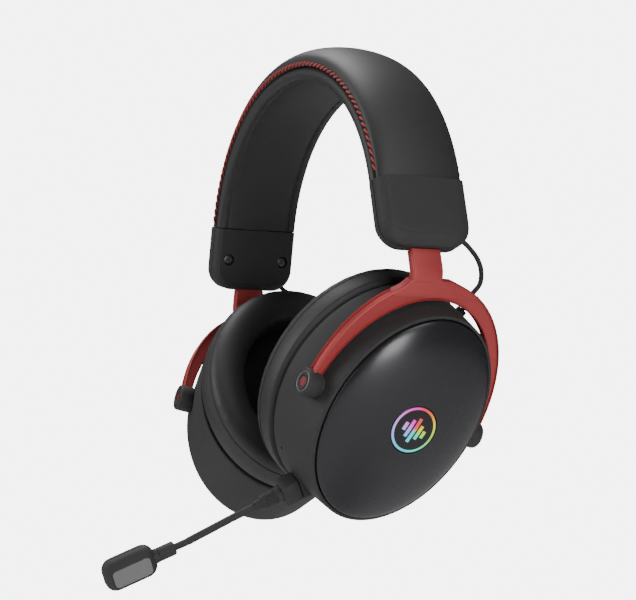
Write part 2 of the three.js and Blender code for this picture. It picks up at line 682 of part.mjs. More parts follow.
function emblemLight(side) {
  const face = domeX(0) + 0.1;
  const rim = domeX(plate.emblemHole);
  const stemFoot = ledBoardX + ledBoard.thickness + gap;
  const profile = [
    [stemFoot, 0], [stemFoot, emblem.stemRadius], [rim - emblem.height, emblem.stemRadius],
    [rim - emblem.height, emblem.radius], [rim, emblem.radius],
    [(rim + face) / 2 + 0.1, emblem.radius * 0.66], [face, emblem.radius * 0.3], [face, 0],
  ];
  return named(`emblem_light_${side}`, turned(profile, 32), frosted());
}

function ledDisc(side) {
  return named(
    `led_board_${side}`, rod("x", ledBoardX, ledBoardX + ledBoard.thickness, ledBoard.radius), circuit(),
  );
}

const baffleBack = cup.flangeX - gap;
const baffleFront = baffleBack - baffle.thickness;

function baffleSolid(side) {
  const edge = cup.flangeHalfWidth - baffle.inset;
  const recessFloor = baffleFront + baffle.recess;
  const profile = [
    [baffleBack, 0], [baffleBack, edge], [baffleFront, edge], [baffleFront, cloth.halfWidth + gap],
    [recessFloor, cloth.halfWidth + gap], [recessFloor, 0],
  ];
  const hole = rod("x", baffleFront - 1, baffleBack + 1, baffle.soundHole, [0, 0], 32);
  return named(`baffle_${side}`, cut(solid(oval(profile.reverse())), solid(hole)), satinBlack());
}

function speakerCloth(side) {
  const back = baffleFront + baffle.recess - gap;
  const profile = [[back - cloth.thickness, 0], [back - cloth.thickness, cloth.halfWidth], [back, cloth.halfWidth], [back, 0]];
  return named(`speaker_cloth_${side}`, oval(profile), clothBlack());
}

function driverParts(side) {
  const seat = baffleBack + gap;
  const backX = seat + driver.depth;
  const shoulder = backX - 3;
  const basket = [
    [seat, driver.bodyRadius - driver.wall], [seat, driver.flangeRadius],
    [seat + driver.flangeThickness, driver.flangeRadius], [seat + driver.flangeThickness, driver.bodyRadius],
    [shoulder, driver.bodyRadius], [backX, driver.bodyRadius - 6], [backX, 0],
    [backX - driver.wall, 0], [backX - driver.wall, driver.bodyRadius - 6 - driver.wall],
    [shoulder - driver.wall, driver.bodyRadius - driver.wall],
  ];
  basket.push(basket[0]);
  const coneX = seat + 1;
  const cone = [
    [coneX, 0], [coneX + 0.8, 7], [coneX + 0.2, driver.coneRadius],
    [coneX + 0.2 + driver.coneThickness, driver.coneRadius], [coneX + 0.8 + driver.coneThickness, 7],
    [coneX + driver.coneThickness, 0],
  ];
  const magnetX = backX + gap;
  return [
    named(`driver_basket_${side}`, turned(openBasket(basket)), brightSteel()),
    named(`driver_magnet_${side}`, rod("x", magnetX, magnetX + driver.magnetHeight, driver.magnetRadius), darkSteel()),
    named(`driver_cone_${side}`, turned(cone), film()),
  ];
}

// The basket's profile starts and ends on the axis: across the back outside, then back along the inside.
function openBasket(points) {
  const loop = points.slice(0, -1);
  const start = loop.findIndex(([, radius], i) => radius === 0 && loop[(i + 1) % loop.length][1] === 0);
  return [...loop.slice(start + 1), ...loop.slice(0, start + 1)];
}

function earCushion(side) {
  const base = baffleFront - gap;
  const seam = base - cushion.sideHeight;
  const outer = cushion.halfWidth;
  const middle = (outer + cushion.openingHalfWidth) / 2;
  const reach = outer - middle;
  const profile = [[base, outer], [seam, outer]];
  const rows = 6;
  for (let i = 1; i < rows; i++) {
    const turn = (Math.PI * i) / rows;
    profile.push([seam - cushion.crown * Math.sin(turn), middle + reach * Math.cos(turn)]);
  }
  profile.push([seam, cushion.openingHalfWidth], [base, cushion.openingHalfWidth], [base, outer]);
  return named(`ear_cushion_${side}`, oval(profile), leatherette());
}

function pivotPins(side) {
  return ends.map(([end, sign]) => named(`pivot_pin_${end}_${side}`, pinSolid(sign), redMetal()));
}

function earCup(side) {
  const group = new THREE.Group();
  group.applyMatrix4(earMatrix);
  group.add(
    housing(side), coverPlate(side), emblemLight(side), ledDisc(side), baffleSolid(side),
    speakerCloth(side), ...driverParts(side), earCushion(side), ...pivotPins(side),
  );
  return group;
}

// ---------------------------------------------------------------- what only one cup holds

function leftElectronics() {
  const group = new THREE.Group();
  group.applyMatrix4(earMatrix);
  const boardTop = cup.floorX - gap;
  const card = block(
    [boardTop - board.thickness, -board.length / 2, -board.below - board.width / 2],
    [boardTop, board.length / 2, -board.below + board.width / 2],
  );
  const plug = block(
    [-port.length / 2, -port.width / 2, -port.depth], [port.length / 2, port.width / 2, -gap],
  );
  const mouth = block(
    [-port.length / 2 + 0.6, -port.width / 2 + 0.6, -port.depth + 1], [port.length / 2 - 0.6, port.width / 2 - 0.6, 1],
  );
  const socketHalf = mic.socket.size / 2;
  const socketTop = mic.seat.top - mic.seat.depth - gap;
  const socketBody = block(
    [-socketHalf, -socketHalf, socketTop - mic.socket.length], [socketHalf, socketHalf, socketTop],
  );
  const socketBore = rod("z", socketTop - mic.socket.length + 1.5, 0, mic.jack.radius + slip, [0, 0], 16);
  group.add(
    named("main_board", card, circuit()),
    named("charging_port", cut(onWall(plug, port.x, port.angle), onWall(mouth, port.x, port.angle)), brightSteel()),
    named(
      "mic_socket",
      cut(onWall(socketBody, mic.x, mic.angle, mic.aim), onWall(socketBore, mic.x, mic.angle, mic.aim)),
      satinBlack(),
    ),
    named("power_button", button(buttons.power), rubber()),
    named("mute_button", button(buttons.mute), rubber()),
    named("volume_wheel", onWall(wheelDisc(), wheel.x, wheel.angle), rubber()),
  );
  return group;
}

function rightBattery() {
  const group = new THREE.Group();
  group.applyMatrix4(earMatrix);
  const top = cup.floorX - gap;
  const pack = block(
    [top - battery.thickness, -battery.length / 2, -battery.below - battery.width / 2],
    [top, battery.length / 2, -battery.below + battery.width / 2],
  );
  group.add(named("battery_pack", pack, foil()));
  return group;
}

// ---------------------------------------------------------------- microphone

// The plug is built along Z from the cup's wall, and each length beyond a bend along Z from that bend.
const plugFoot = mic.seat.top + gap;
const blockTop = plugFoot + mic.block.length;
const collarFoot = blockTop + mic.shoulder.length;
const collarTop = collarFoot + mic.collar.length;
const boomStart = collarTop + mic.neckRing.length;
const firstBend = boomStart + mic.lowerBoom;

function micPlug() {
  const { width, thickness } = mic.block;
  const body = block([-width / 2, -thickness / 2, plugFoot], [width / 2, thickness / 2, blockTop]);
  const parts = [
    rod("z", plugFoot - mic.jack.length, plugFoot + 1, mic.jack.radius, [0, 0], 16),
    rod("z", blockTop - 1, collarFoot + 1, mic.shoulder.radius, [0, 0], 18),
    rod("z", collarFoot, collarTop, mic.collar.radius, [0, 0], 18),
    rod("z", collarTop - 1, boomStart, mic.neckRing.radius, [0, 0], 16),
    rod("z", boomStart - 1, firstBend - mic.boomRadius - gap, mic.boomRadius, [0, 0], 12),
  ];
  return join(solid(body), ...parts.map((part) => solid(part)));
}

// A length above a bend starts with a ball centred on it, so that it can turn there.
function bendingEnd(length) {
  const ball = new THREE.SphereGeometry(mic.boomRadius, 14, 8);
  return join(solid(ball), solid(rod("z", 0, length, mic.boomRadius, [0, 0], 14)));
}

function headOutline(inset = 0) {
  const half = mic.head.width / 2 - inset;
  const low = inset;
  const high = mic.head.length - inset;
  const round = mic.head.cornerRadius - inset;
  const shape = new THREE.Shape();
  shape.absarc(half - round, low + round, round, -Math.PI / 2, 0);
  shape.absarc(half - round, high - round, round, 0, Math.PI / 2);
  shape.absarc(-half + round, high - round, round, Math.PI / 2, Math.PI);
  shape.absarc(-half + round, low + round, round, Math.PI, 1.5 * Math.PI);
  return shape;
}

// The head's outline is drawn with its thickness along X, then turned so that the screen faces outward.
function headPlaced(body) {
  const upright = new THREE.Matrix4().makeBasis(
    new THREE.Vector3(0, 1, 0), new THREE.Vector3(-1, 0, 0), new THREE.Vector3(0, 0, 1),
  );
  upright.setPosition(0, 0, mic.headShaft + mic.sleeve.length - 0.2);
  return solid(geometryOf(body).applyMatrix4(upright));
}

function micHead() {
  const half = mic.head.thickness / 2;
  const { chamfer, screenInset } = mic.head;
  const seat = solid(slab(headOutline(chamfer), half - screenInset, half + 1));
  const shell = cut(solid(slab(headOutline(), -half, half, chamfer)), seat);
  const sleeve = rod("z", mic.headShaft, mic.headShaft + mic.sleeve.length + 1, mic.sleeve.radius, [0, 0], 18);
  return join(headPlaced(shell), bendingEnd(mic.headShaft + 1), solid(sleeve));
}

function micScreen() {
  const half = mic.head.thickness / 2;
  const { chamfer, screenInset } = mic.head;
  return headPlaced(solid(slab(headOutline(chamfer + gap), half - screenInset + gap, half)));
}

function microphone() {
  const group = new THREE.Group();
  group.applyMatrix4(earMatrix.clone().multiply(wallMatrix(mic.x, mic.angle, mic.aim)));
  const boom = new THREE.Group();
  boom.position.z = firstBend;
  boom.rotation.y = mic.boomTurn;
  const head = new THREE.Group();
  head.position.z = mic.upperBoom;
  head.rotation.y = mic.headTurn;
  group.add(named("mic_plug", micPlug(), satinBlack()), boom);
  boom.add(named("mic_boom", bendingEnd(mic.upperBoom - mic.boomRadius - gap), satinBlack()), head);
  head.add(named("mic_head", micHead(), satinBlack()), named("mic_screen", micScreen(), clothBlack()));
  return group;
}

// ---------------------------------------------------------------- leads between cap, yoke and cup

function tube(points, steps) {
  const curve = new THREE.CatmullRomCurve3(points);
  const section = new THREE.Shape();
  for (let i = 0; i < lead.sides; i++) {
    const turn = (2 * Math.PI * i) / lead.sides;
    const at = [lead.radius * Math.cos(turn), lead.radius * Math.sin(turn)];
    if (i === 0) section.moveTo(...at);
    else section.lineTo(...at);
  }
  return new THREE.ExtrudeGeometry(section, { steps, extrudePath: curve, bevelEnabled: false });
}

const vectors = (points) => points.map((point) => new THREE.Vector3(...point));

function leads(side) {
  const out = new THREE.Vector3(0, Math.SQRT1_2, -Math.SQRT1_2);
  const capEnd = [gap, 3].map((run) => capCorner.clone().addScaledVector(out, run).applyMatrix4(legMatrix()));
  const glandFrame = earMatrix.clone().multiply(wallMatrix(lead.glandX, lead.glandAngle));
  const cupEnd = [2, gap].map((run) =>
    new THREE.Vector3(0, 0, lead.glandHeight + run).applyMatrix4(glandFrame));
  const middle = new THREE.Vector3(...leadMiddle);
  const onward = new THREE.Vector3(...lowerLeadRoute[0]).sub(middle).setLength(3 * gap);
  const upper = [...capEnd, ...vectors(upperLeadRoute), middle];
  const lower = [middle.clone().add(onward), ...vectors(lowerLeadRoute), ...cupEnd];
  return [
    named(`lead_upper_${side}`, tube(upper, lead.upperSteps), rubber()),
    named(`lead_lower_${side}`, tube(lower, lead.lowerSteps), rubber()),
  ];
}

// ---------------------------------------------------------------- the whole headset

const headset = new THREE.Group();
headset.add(headbandPad(), headbandStrip(), headbandCover());
for (const [side, mirror] of [["left", 1], ["right", -1]]) {
  const half = new THREE.Group();
  half.scale.x = mirror;
  half.add(endCaps(side), yoke(side), earCup(side), ...leads(side));
  if (side === "left") half.add(leftElectronics(), microphone());
  else half.add(rightBattery());
  headset.add(half);
}

export default headset;
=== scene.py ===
"""The looks of a wireless over-ear gaming headset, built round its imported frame.

Lengths are in millimetres until a piece is built, and metres from then on. +Z is up, +X is the wearer's
left and -Y is forward. The origin is the middle of the headband pad's underside.
"""
import logging
import math
from dataclasses import dataclass
from enum import Enum

import bpy
import numpy as np
from mathutils import Matrix, Vector


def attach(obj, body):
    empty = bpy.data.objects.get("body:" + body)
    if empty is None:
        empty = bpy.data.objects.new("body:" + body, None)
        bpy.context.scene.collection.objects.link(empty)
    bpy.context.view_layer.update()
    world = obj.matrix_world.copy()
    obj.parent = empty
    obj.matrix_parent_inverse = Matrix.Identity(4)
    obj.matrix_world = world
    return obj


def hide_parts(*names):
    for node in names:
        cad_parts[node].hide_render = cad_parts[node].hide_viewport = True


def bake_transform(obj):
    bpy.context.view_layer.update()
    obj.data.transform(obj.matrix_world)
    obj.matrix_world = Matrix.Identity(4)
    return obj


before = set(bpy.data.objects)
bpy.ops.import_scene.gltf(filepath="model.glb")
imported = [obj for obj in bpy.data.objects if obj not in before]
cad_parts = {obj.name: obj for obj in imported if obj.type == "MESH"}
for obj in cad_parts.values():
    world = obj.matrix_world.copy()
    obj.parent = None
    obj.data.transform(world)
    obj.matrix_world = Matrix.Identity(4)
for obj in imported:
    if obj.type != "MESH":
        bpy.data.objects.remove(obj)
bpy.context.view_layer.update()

MM = 0.001
Array = np.ndarray
Colour = tuple[float, float, float]
log = logging.getLogger("headset")


class Side(Enum):
    """Which half of the headset a piece belongs to, as the sign of its X."""

    LEFT = 1
    RIGHT = -1

    @property
    def word(self) -> str:
        """The side's name in node, body and piece names."""
        return self.name.lower()


class End(Enum):
    """Which end of the pivot axis, as the sign along it."""

    FRONT = -1
    REAR = 1

    @property
    def word(self) -> str:
        """The end's name in node and piece names."""
        return self.name.lower()


# ---------------------------------------------------------------- shader arithmetic


class Wire:
    """A shader socket that can be used in arithmetic: each operation adds one Math node."""

    def __init__(self, shade: "Shade", socket: bpy.types.NodeSocket) -> None:
        """Args: shade: the material being made. socket: the output that this stands for."""
        self.shade = shade
        self.socket = socket

    def math(self, operation: str, *values: "Wire | float") -> "Wire":
        """Adds one Math node. Args: operation: its kind. values: its inputs in order. Returns: its result."""
        return self.shade.node("ShaderNodeMath", {"operation": operation}, dict(enumerate(values)))

    def __add__(self, other: "Wire | float") -> "Wire":
        """self + other."""
        return self.math("ADD", self, other)

    __radd__ = __add__

    def __sub__(self, other: "Wire | float") -> "Wire":
        """self - other."""
        return self.math("SUBTRACT", self, other)

    def __rsub__(self, other: "Wire | float") -> "Wire":
        """other - self."""
        return self.math("SUBTRACT", other, self)

    def __mul__(self, other: "Wire | float") -> "Wire":
        """self * other."""
        return self.math("MULTIPLY", self, other)

    __rmul__ = __mul__

    def __truediv__(self, other: "Wire | float") -> "Wire":
        """self / other."""
        return self.math("DIVIDE", self, other)

    def __pow__(self, other: "Wire | float") -> "Wire":
        """self to a power."""
        return self.math("POWER", self, other)

    def __lt__(self, other: "Wire | float") -> "Wire":
        """1 where self is below other, otherwise 0."""
        return self.math("LESS_THAN", self, other)

    def __gt__(self, other: "Wire | float") -> "Wire":
        """1 where self is above other, otherwise 0."""
        return self.math("GREATER_THAN", self, other)

    def __abs__(self) -> "Wire":
        """The size of self without its sign."""
        return self.math("ABSOLUTE", self)

    def ramp(self, low: float, high: float, start: float = 0.0, end: float = 1.0) -> "Wire":
        """A smooth step. Args: low, high: where it starts and ends. start, end: its values. Returns: it."""
        limits = {"Value": self, "From Min": low, "From Max": high, "To Min": start, "To Max": end}
        return self.shade.node("ShaderNodeMapRange", {"interpolation_type": "SMOOTHSTEP"}, limits)


class Shade:
    """One material's node tree, which ends in a Principled surface."""

    def __init__(self, name: str) -> None:
        """Args: name: the material's name."""
        self.material = bpy.data.materials.new(name)
        self.material.use_nodes = True
        self.tree = self.material.node_tree
        self.tree.nodes.clear()

    def node(
        self, kind: str, settings: dict | None = None, inputs: dict | None = None, output: int | str = 0
    ) -> Wire:
        """Adds any node.

        Args:
            kind: its type. settings: its own settings, and "stops" for a ramp's. inputs: values or wires by
            socket name or number. output: which of its outputs is wanted.
        Returns:
            That output.
        """
        made = self.tree.nodes.new(kind)
        for name, value in (settings or {}).items():
            if name != "stops":
                setattr(made, name, value)
                continue
            ramp = made.color_ramp
            while len(ramp.elements) < len(value):
                ramp.elements.new(0.5)
            for element, (place, colour) in zip(ramp.elements, value):
                element.position = place
                element.color = (*colour, 1.0)
        for name, value in (inputs or {}).items():
            self.feed(made.inputs[name], value)
        return Wire(self, made.outputs[output] if len(made.outputs) else None)

    def feed(self, socket: bpy.types.NodeSocket, value: "Wire | float | tuple") -> None:
        """Links a wire to a socket, or sets the socket's own value. Args: socket, value: what goes where."""
        if isinstance(value, Wire):
            self.tree.links.new(value.socket, socket)
        elif isinstance(value, tuple) and socket.type == "RGBA":
            socket.default_value = (*value[:3], 1.0)
        else:
            socket.default_value = value

    def place(self) -> Wire:
        """Returns: the point's place in the row frame, in metres."""
        return self.node("ShaderNodeTexCoord", output="Object")

    def noise(self, size: float, detail: float = 3.0, where: Wire | None = None) -> Wire:
        """Args: size: of its blobs, in millimetres. detail: how fine. where: coordinates. Returns: 0 to 1."""
        values = {"Vector": where or self.place(), "Scale": 1000.0 / size, "Detail": detail}
        return self.node("ShaderNodeTexNoise", None, values)

    def cells(self, size: float, feature: str = "F1") -> Wire:
        """Args: size: of a cell, in millimetres. feature: which distance. Returns: the cells' distance."""
        values = {"Vector": self.place(), "Scale": 1000.0 / size}
        return self.node("ShaderNodeTexVoronoi", {"feature": feature}, values)

    def blend(self, share: Wire | float, first: "Wire | Colour", second: "Wire | Colour") -> Wire:
        """Args: share: of the second colour. first, second: the colours. Returns: the mixed colour."""
        return self.node("ShaderNodeMix", {"data_type": "RGBA"}, {0: share, 6: first, 7: second}, output=2)

    def along(self, direction: Array, centre: Array) -> Wire:
        """Args: direction: a unit vector. centre: a point, in metres. Returns: the distance along it."""
        away = self.node(
            "ShaderNodeVectorMath", {"operation": "SUBTRACT"}, {0: self.place(), 1: tuple(map(float, centre))}
        )
        values = {0: away, 1: tuple(map(float, direction))}
        return self.node("ShaderNodeVectorMath", {"operation": "DOT_PRODUCT"}, values, output="Value")

    def bump(self, height: Wire, depth: float, strength: float = 1.0) -> Wire:
        """Args: height: 0 to 1. depth: of 1, in millimetres. strength: its share. Returns: a normal."""
        values = {"Height": height, "Distance": depth * MM, "Strength": strength}
        return self.node("ShaderNodeBump", None, values)

    def surface(self, **sockets: "Wire | float | tuple") -> bpy.types.Material:
        """Closes the tree. Args: sockets: of the surface, with _ for a space. Returns: the material."""
        named = {name.replace("_IOR_", " IOR ").replace("_", " "): value for name, value in sockets.items()}
        shader = self.node("ShaderNodeBsdfPrincipled", None, named)
        self.node("ShaderNodeOutputMaterial", None, {"Surface": shader})
        return self.material


# ---------------------------------------------------------------- finishes


@dataclass(frozen=True)
class Leatherette:
    """Soft grained sheet over foam: fine cells, shallow creases, and a broad sheen."""

    colour: Colour = (0.021, 0.021, 0.0215)
    worn: Colour = (0.034, 0.034, 0.035)
    roughness: float = 0.43
    grain: float = 0.8
    depth: float = 0.05

    def material(self, name: str) -> bpy.types.Material:
        """Cells of the grain, painted shade in their pits, and blobs of wear. Args: name: the material's. Returns:
        it.
        """
        shade = Shade(name)
        cell = shade.cells(self.grain)
        fine = shade.noise(self.grain * 0.35, 2.0)
        patch = shade.noise(24.0, 2.0)
        height = cell.ramp(0.0, 0.7) * 0.7 + fine * 0.3
        tone = shade.blend(patch.ramp(0.35, 0.75), self.colour, self.worn)
        # Painted shade: the grain's pits are coloured darker, following the low parts of the bump.
        grain_with_painted_pit_shade = shade.blend(cell.ramp(0.0, 0.5) * 0.35 + 0.65, tuple(0.55 * c for c in self.colour), tone)
        rough = self.roughness + 0.09 * (patch - 0.5) + 0.10 * (fine - 0.5)
        return shade.surface(
            Base_Color=grain_with_painted_pit_shade, Roughness=rough, Normal=shade.bump(height, self.depth), Sheen_Weight=0.04,
            Sheen_Roughness=0.5, Specular_IOR_Level=0.42,
        )


@dataclass(frozen=True)
class Moulded:
    """Moulded plastic: a spark-eroded texture, faint flow marks and a little dust."""

    colour: Colour = (0.018, 0.018, 0.0185)
    roughness: float = 0.36
    texture: float = 0.25
    depth: float = 0.012
    coat: float = 0.0
    specular: float = 0.5

    def material(self, name: str) -> bpy.types.Material:
        """Fine texture over slow changes of gloss. Args: name: the material's. Returns: it."""
        shade = Shade(name)
        fine = shade.noise(self.texture, 2.0)
        flow = shade.noise(14.0, 3.0)
        dust = shade.noise(1.6, 4.0).ramp(0.66, 0.78) * 0.16
        lighter = tuple(c * 1.35 + 0.004 for c in self.colour)
        tone = shade.blend(flow.ramp(0.3, 0.75), self.colour, lighter)
        dusted = shade.blend(dust, tone, (0.10, 0.10, 0.10))
        rough = self.roughness + 0.07 * (flow - 0.5) + 0.06 * (fine - 0.5) + dust * 0.4
        return shade.surface(
            Base_Color=dusted, Roughness=rough, Normal=shade.bump(fine, self.depth),
            Coat_Weight=self.coat, Coat_Roughness=0.16, Specular_IOR_Level=self.specular,
        )


@dataclass(frozen=True)
class Painted:
    """Satin paint over metal: an even colour, a fine orange peel and a hint of flake."""

    colour: Colour = (0.62, 0.026, 0.018)
    deep: Colour = (0.48, 0.018, 0.014)
    roughness: float = 0.36
    flake: float = 0.12

    def material(self, name: str) -> bpy.types.Material:
        """Slow colour drift, flake and orange peel. Args: name: the material's. Returns: it."""
        shade = Shade(name)
        drift = shade.noise(30.0, 2.0)
        flake = shade.noise(self.flake, 1.0)
        peel = shade.noise(0.9, 2.0)
        tone = shade.blend(drift.ramp(0.3, 0.7) * 0.6 + flake.ramp(0.45, 0.7) * 0.25, self.colour, self.deep)
        rough = self.roughness + 0.06 * (drift - 0.5) + 0.10 * (flake - 0.5)
        return shade.surface(
            Base_Color=tone, Roughness=rough, Metallic=0.15, Normal=shade.bump(peel, 0.012),
            Coat_Weight=0.05, Coat_Roughness=0.25, Specular_IOR_Level=0.32,
        )


@dataclass(frozen=True)
class Metal:
    """Plain or plated metal with fine turning marks."""

    colour: Colour = (0.30, 0.30, 0.31)
    roughness: float = 0.32

    def material(self, name: str) -> bpy.types.Material:
        """Blotched gloss and a fine scratch. Args: name: the material's. Returns: it."""
        shade = Shade(name)
        blotch = shade.noise(3.0, 3.0)
        scratch = shade.noise(0.2, 2.0)
        tone = shade.blend(blotch, self.colour, tuple(0.7 * c for c in self.colour))
        rough = self.roughness + 0.12 * (blotch - 0.5) + 0.08 * (scratch - 0.5)
        return shade.surface(
            Base_Color=tone, Roughness=rough, Metallic=0.95, Normal=shade.bump(scratch, 0.006)
        )


@dataclass(frozen=True)
class Knit:
    """Tight knitted cloth: crossed ribs of thread, with lint."""

    colour: Colour = (0.016, 0.016, 0.017)
    pitch: float = 0.55
    depth: float = 0.08

    def material(self, name: str) -> bpy.types.Material:
        """Two crossed waves make the weave, painted darker in its hollows as shade and lighter on its raised threads.
        Args: name: the material's. Returns: it.
        """
        shade = Shade(name)
        place = shade.place()
        waves = [
            shade.node(
                "ShaderNodeTexWave", {"bands_direction": axis},
                {"Vector": place, "Scale": 1000.0 / self.pitch / 6.4, "Distortion": 0.6, "Detail Scale": 2.0},
                output=1,
            )
            for axis in ("Y", "Z")
        ]
        weave = waves[0] * waves[1]
        lint = shade.noise(2.4, 4.0)
        # Painted shade and light: the weave's hollows are coloured darker and its raised threads lighter, following
        # the bump.
        dark = tuple(0.4 * c for c in self.colour)
        tone = shade.blend(weave * 0.7 + lint * 0.3, dark, tuple(1.7 * c for c in self.colour))
        return shade.surface(
            Base_Color=tone, Roughness=0.92 + 0.06 * (lint - 0.5), Normal=shade.bump(weave, self.depth),
            Sheen_Weight=0.15, Sheen_Roughness=0.5,
        )


@dataclass(frozen=True)
class Thread:
    """Twisted sewing thread."""

    colour: Colour = (0.55, 0.035, 0.035)

    def material(self, name: str) -> bpy.types.Material:
        """A fine twist and uneven dye. Args: name: the material's. Returns: it."""
        shade = Shade(name)
        twist = shade.noise(0.25, 2.0)
        dye = shade.noise(4.0, 2.0)
        tone = shade.blend(twist * 0.5 + dye * 0.3, self.colour, tuple(0.35 * c for c in self.colour))
        return shade.surface(
            Base_Color=tone, Roughness=0.7 + 0.1 * (dye - 0.5), Normal=shade.bump(twist, 0.05),
            Sheen_Weight=0.2,
        )


@dataclass(frozen=True)
class Circuit:
    """Solder mask with tracks and pads."""

    colour: Colour = (0.01, 0.10, 0.045)

    def material(self, name: str) -> bpy.types.Material:
        """Crossed tracks on green mask. Args: name: the material's. Returns: it."""
        shade = Shade(name)
        track = shade.cells(2.2, "DISTANCE_TO_EDGE").ramp(0.04, 0.07)
        blot = shade.noise(0.8, 2.0)
        tone = shade.blend(track, (0.25, 0.20, 0.07), self.colour)
        return shade.surface(
            Base_Color=tone, Roughness=0.35 + 0.2 * (blot - 0.5), Normal=shade.bump(track, 0.03)
        )


@dataclass(frozen=True)
class LitEmblem:
    """A dark window over coloured lights: a ring and five bars glow through it.

    Across the window y runs rearward and z up, both in millimetres from its centre. The ring is where the
    radius is between its two, and a bar is where y is near the bar's place and z within its height. The
    colours run round the centre by angle.
    """

    centre: Array
    rearward: Array
    upward: Array
    ring: tuple[float, float] = (8.5, 9.45)
    bars: tuple[tuple[float, float], ...] = ((-4.6, 1.7), (-2.3, 3.7), (0.0, 5.3), (2.3, 3.0), (4.6, 1.5))
    bar_half: float = 0.75
    glow: float = 0.55

    def material(self, name: str) -> bpy.types.Material:
        """Ring, bars and the colour wheel. Args: name: the material's. Returns: it."""
        shade = Shade(name)
        y = shade.along(self.rearward, self.centre * MM) * (1 / MM)
        z = shade.along(self.upward, self.centre * MM) * (1 / MM)
        radius = (y * y + z * z) ** 0.5
        soft = 0.16
        lit = radius.ramp(self.ring[0] - soft, self.ring[0] + soft) * radius.ramp(
            self.ring[1] - soft, self.ring[1] + soft, 1.0, 0.0
        )
        for place, height in self.bars:
            wide = abs(y - place).ramp(self.bar_half - soft, self.bar_half + soft, 1.0, 0.0)
            tall = abs(z).ramp(height - soft, height + soft, 1.0, 0.0)
            lit = lit.math("MAXIMUM", lit, wide * tall)
        turn = z.math("ARCTAN2", z, y) * (0.5 / math.pi) + 0.5
        wheel = shade.node(
            "ShaderNodeValToRGB",
            {
                "stops": (
                    (0.00, (0.62, 0.32, 0.95)), (0.13, (0.25, 0.50, 1.0)), (0.25, (0.02, 0.72, 0.95)),
                    (0.38, (0.05, 0.85, 0.55)), (0.50, (0.35, 0.90, 0.05)), (0.60, (0.95, 0.80, 0.02)),
                    (0.68, (0.98, 0.22, 0.02)), (0.76, (0.90, 0.02, 0.05)), (0.86, (0.90, 0.04, 0.62)),
                    (1.00, (0.62, 0.32, 0.95)),
                )
            },
            {0: turn},
        )
        base = shade.blend(lit, (0.010, 0.010, 0.011), wheel)
        glow = shade.blend(lit, (0.0, 0.0, 0.0), wheel)
        return shade.surface(
            Base_Color=base, Roughness=0.22 + 0.2 * lit, Emission_Color=glow, Emission_Strength=self.glow,
            Normal=shade.bump(shade.noise(0.4, 2.0), 0.004),
        )


# ---------------------------------------------------------------- forms


def quads(rows: int, columns: int, wrap_rows: bool = False, wrap_columns: bool = True) -> Array:
    """The faces of a grid of points. Args: its size, and which ways it closes. Returns: (n, 4) indices."""
    row = np.arange(rows if wrap_rows else rows - 1)[:, None]
    column = np.arange(columns if wrap_columns else columns - 1)[None, :]
    after, beside = (row + 1) % rows, (column + 1) % columns
    corners = (
        row * columns + column, row * columns + beside, after * columns + beside, after * columns + column
    )
    return np.stack(np.broadcast_arrays(*corners), -1).reshape(-1, 4)


@dataclass
class Form:
    """A closed shape: points in millimetres, four-sided faces, and the end faces with more sides."""

    points: Array
    sides: Array
    ends: list[list[int]]

    @classmethod
    def loft(cls, rings: Array, closed: bool = False) -> "Form":
        """Skins a row of rings. Args: rings: (n, m, 3). closed: last meets first. Returns: the form."""
        return cls.many(rings[None], closed)

    @classmethod
    def many(cls, rings: Array, closed: bool = False) -> "Form":
        """Skins several rows of rings. Args: rings: (k, n, m, 3). closed: each row is. Returns: the form."""
        rows, count, around = rings.shape[:3]
        start = np.arange(rows)[:, None, None] * count * around
        sides = (quads(count, around, closed)[None] + start).reshape(-1, 4)
        ends = []
        for first in range(0, 0 if closed else rows * count * around, count * around):
            last = first + (count - 1) * around
            ends += [list(range(first, first + around))[::-1], list(range(last, last + around))]
        return cls(rings.reshape(-1, 3), sides, ends).outward()

    @classmethod
    def turned(cls, profile: Array, around: int = 64, closed: bool = False) -> "Form":
        """Turns a profile about X. Args: profile: (n, 2), x and radius. around: steps. Returns: the form."""
        angle = np.linspace(0, 2 * np.pi, around, endpoint=False)
        x, radius = profile[:, :1], profile[:, 1:]
        rings = np.stack([x + 0 * angle, radius * np.cos(angle), radius * np.sin(angle)], -1)
        return cls.loft(rings, closed)

    def outward(self) -> "Form":
        """Turns the faces over if they enclose less than nothing. Returns: the form."""
        p = self.points - self.points.mean(0)
        a, b, c, d = (p[self.sides[:, i]] for i in range(4))
        volume = np.einsum("ij,ij->", a, np.cross(b, c) + np.cross(c, d))
        for end in self.ends:
            corner = p[np.array(end)]
            volume += np.einsum("j,ij->", corner[0], np.cross(corner[1:-1], corner[2:]))
        if volume < 0:
            self.sides = self.sides[:, ::-1]
            self.ends = [end[::-1] for end in self.ends]
        return self

    def moved(self, matrix: Array) -> "Form":
        """Args: matrix: (4, 4). Returns: the form carried by it."""
        return Form(self.points @ matrix[:3, :3].T + matrix[:3, 3], self.sides, [list(e) for e in self.ends])

    def with_(self, *others: "Form") -> "Form":
        """Args: others: more forms. Returns: all of them as one."""
        points, sides, ends = [self.points], [self.sides], list(self.ends)
        start = len(self.points)
        for other in others:
            points.append(other.points)
            sides.append(other.sides + start)
            ends += [[i + start for i in end] for end in other.ends]
            start += len(other.points)
        return Form(np.concatenate(points), np.concatenate(sides), ends)


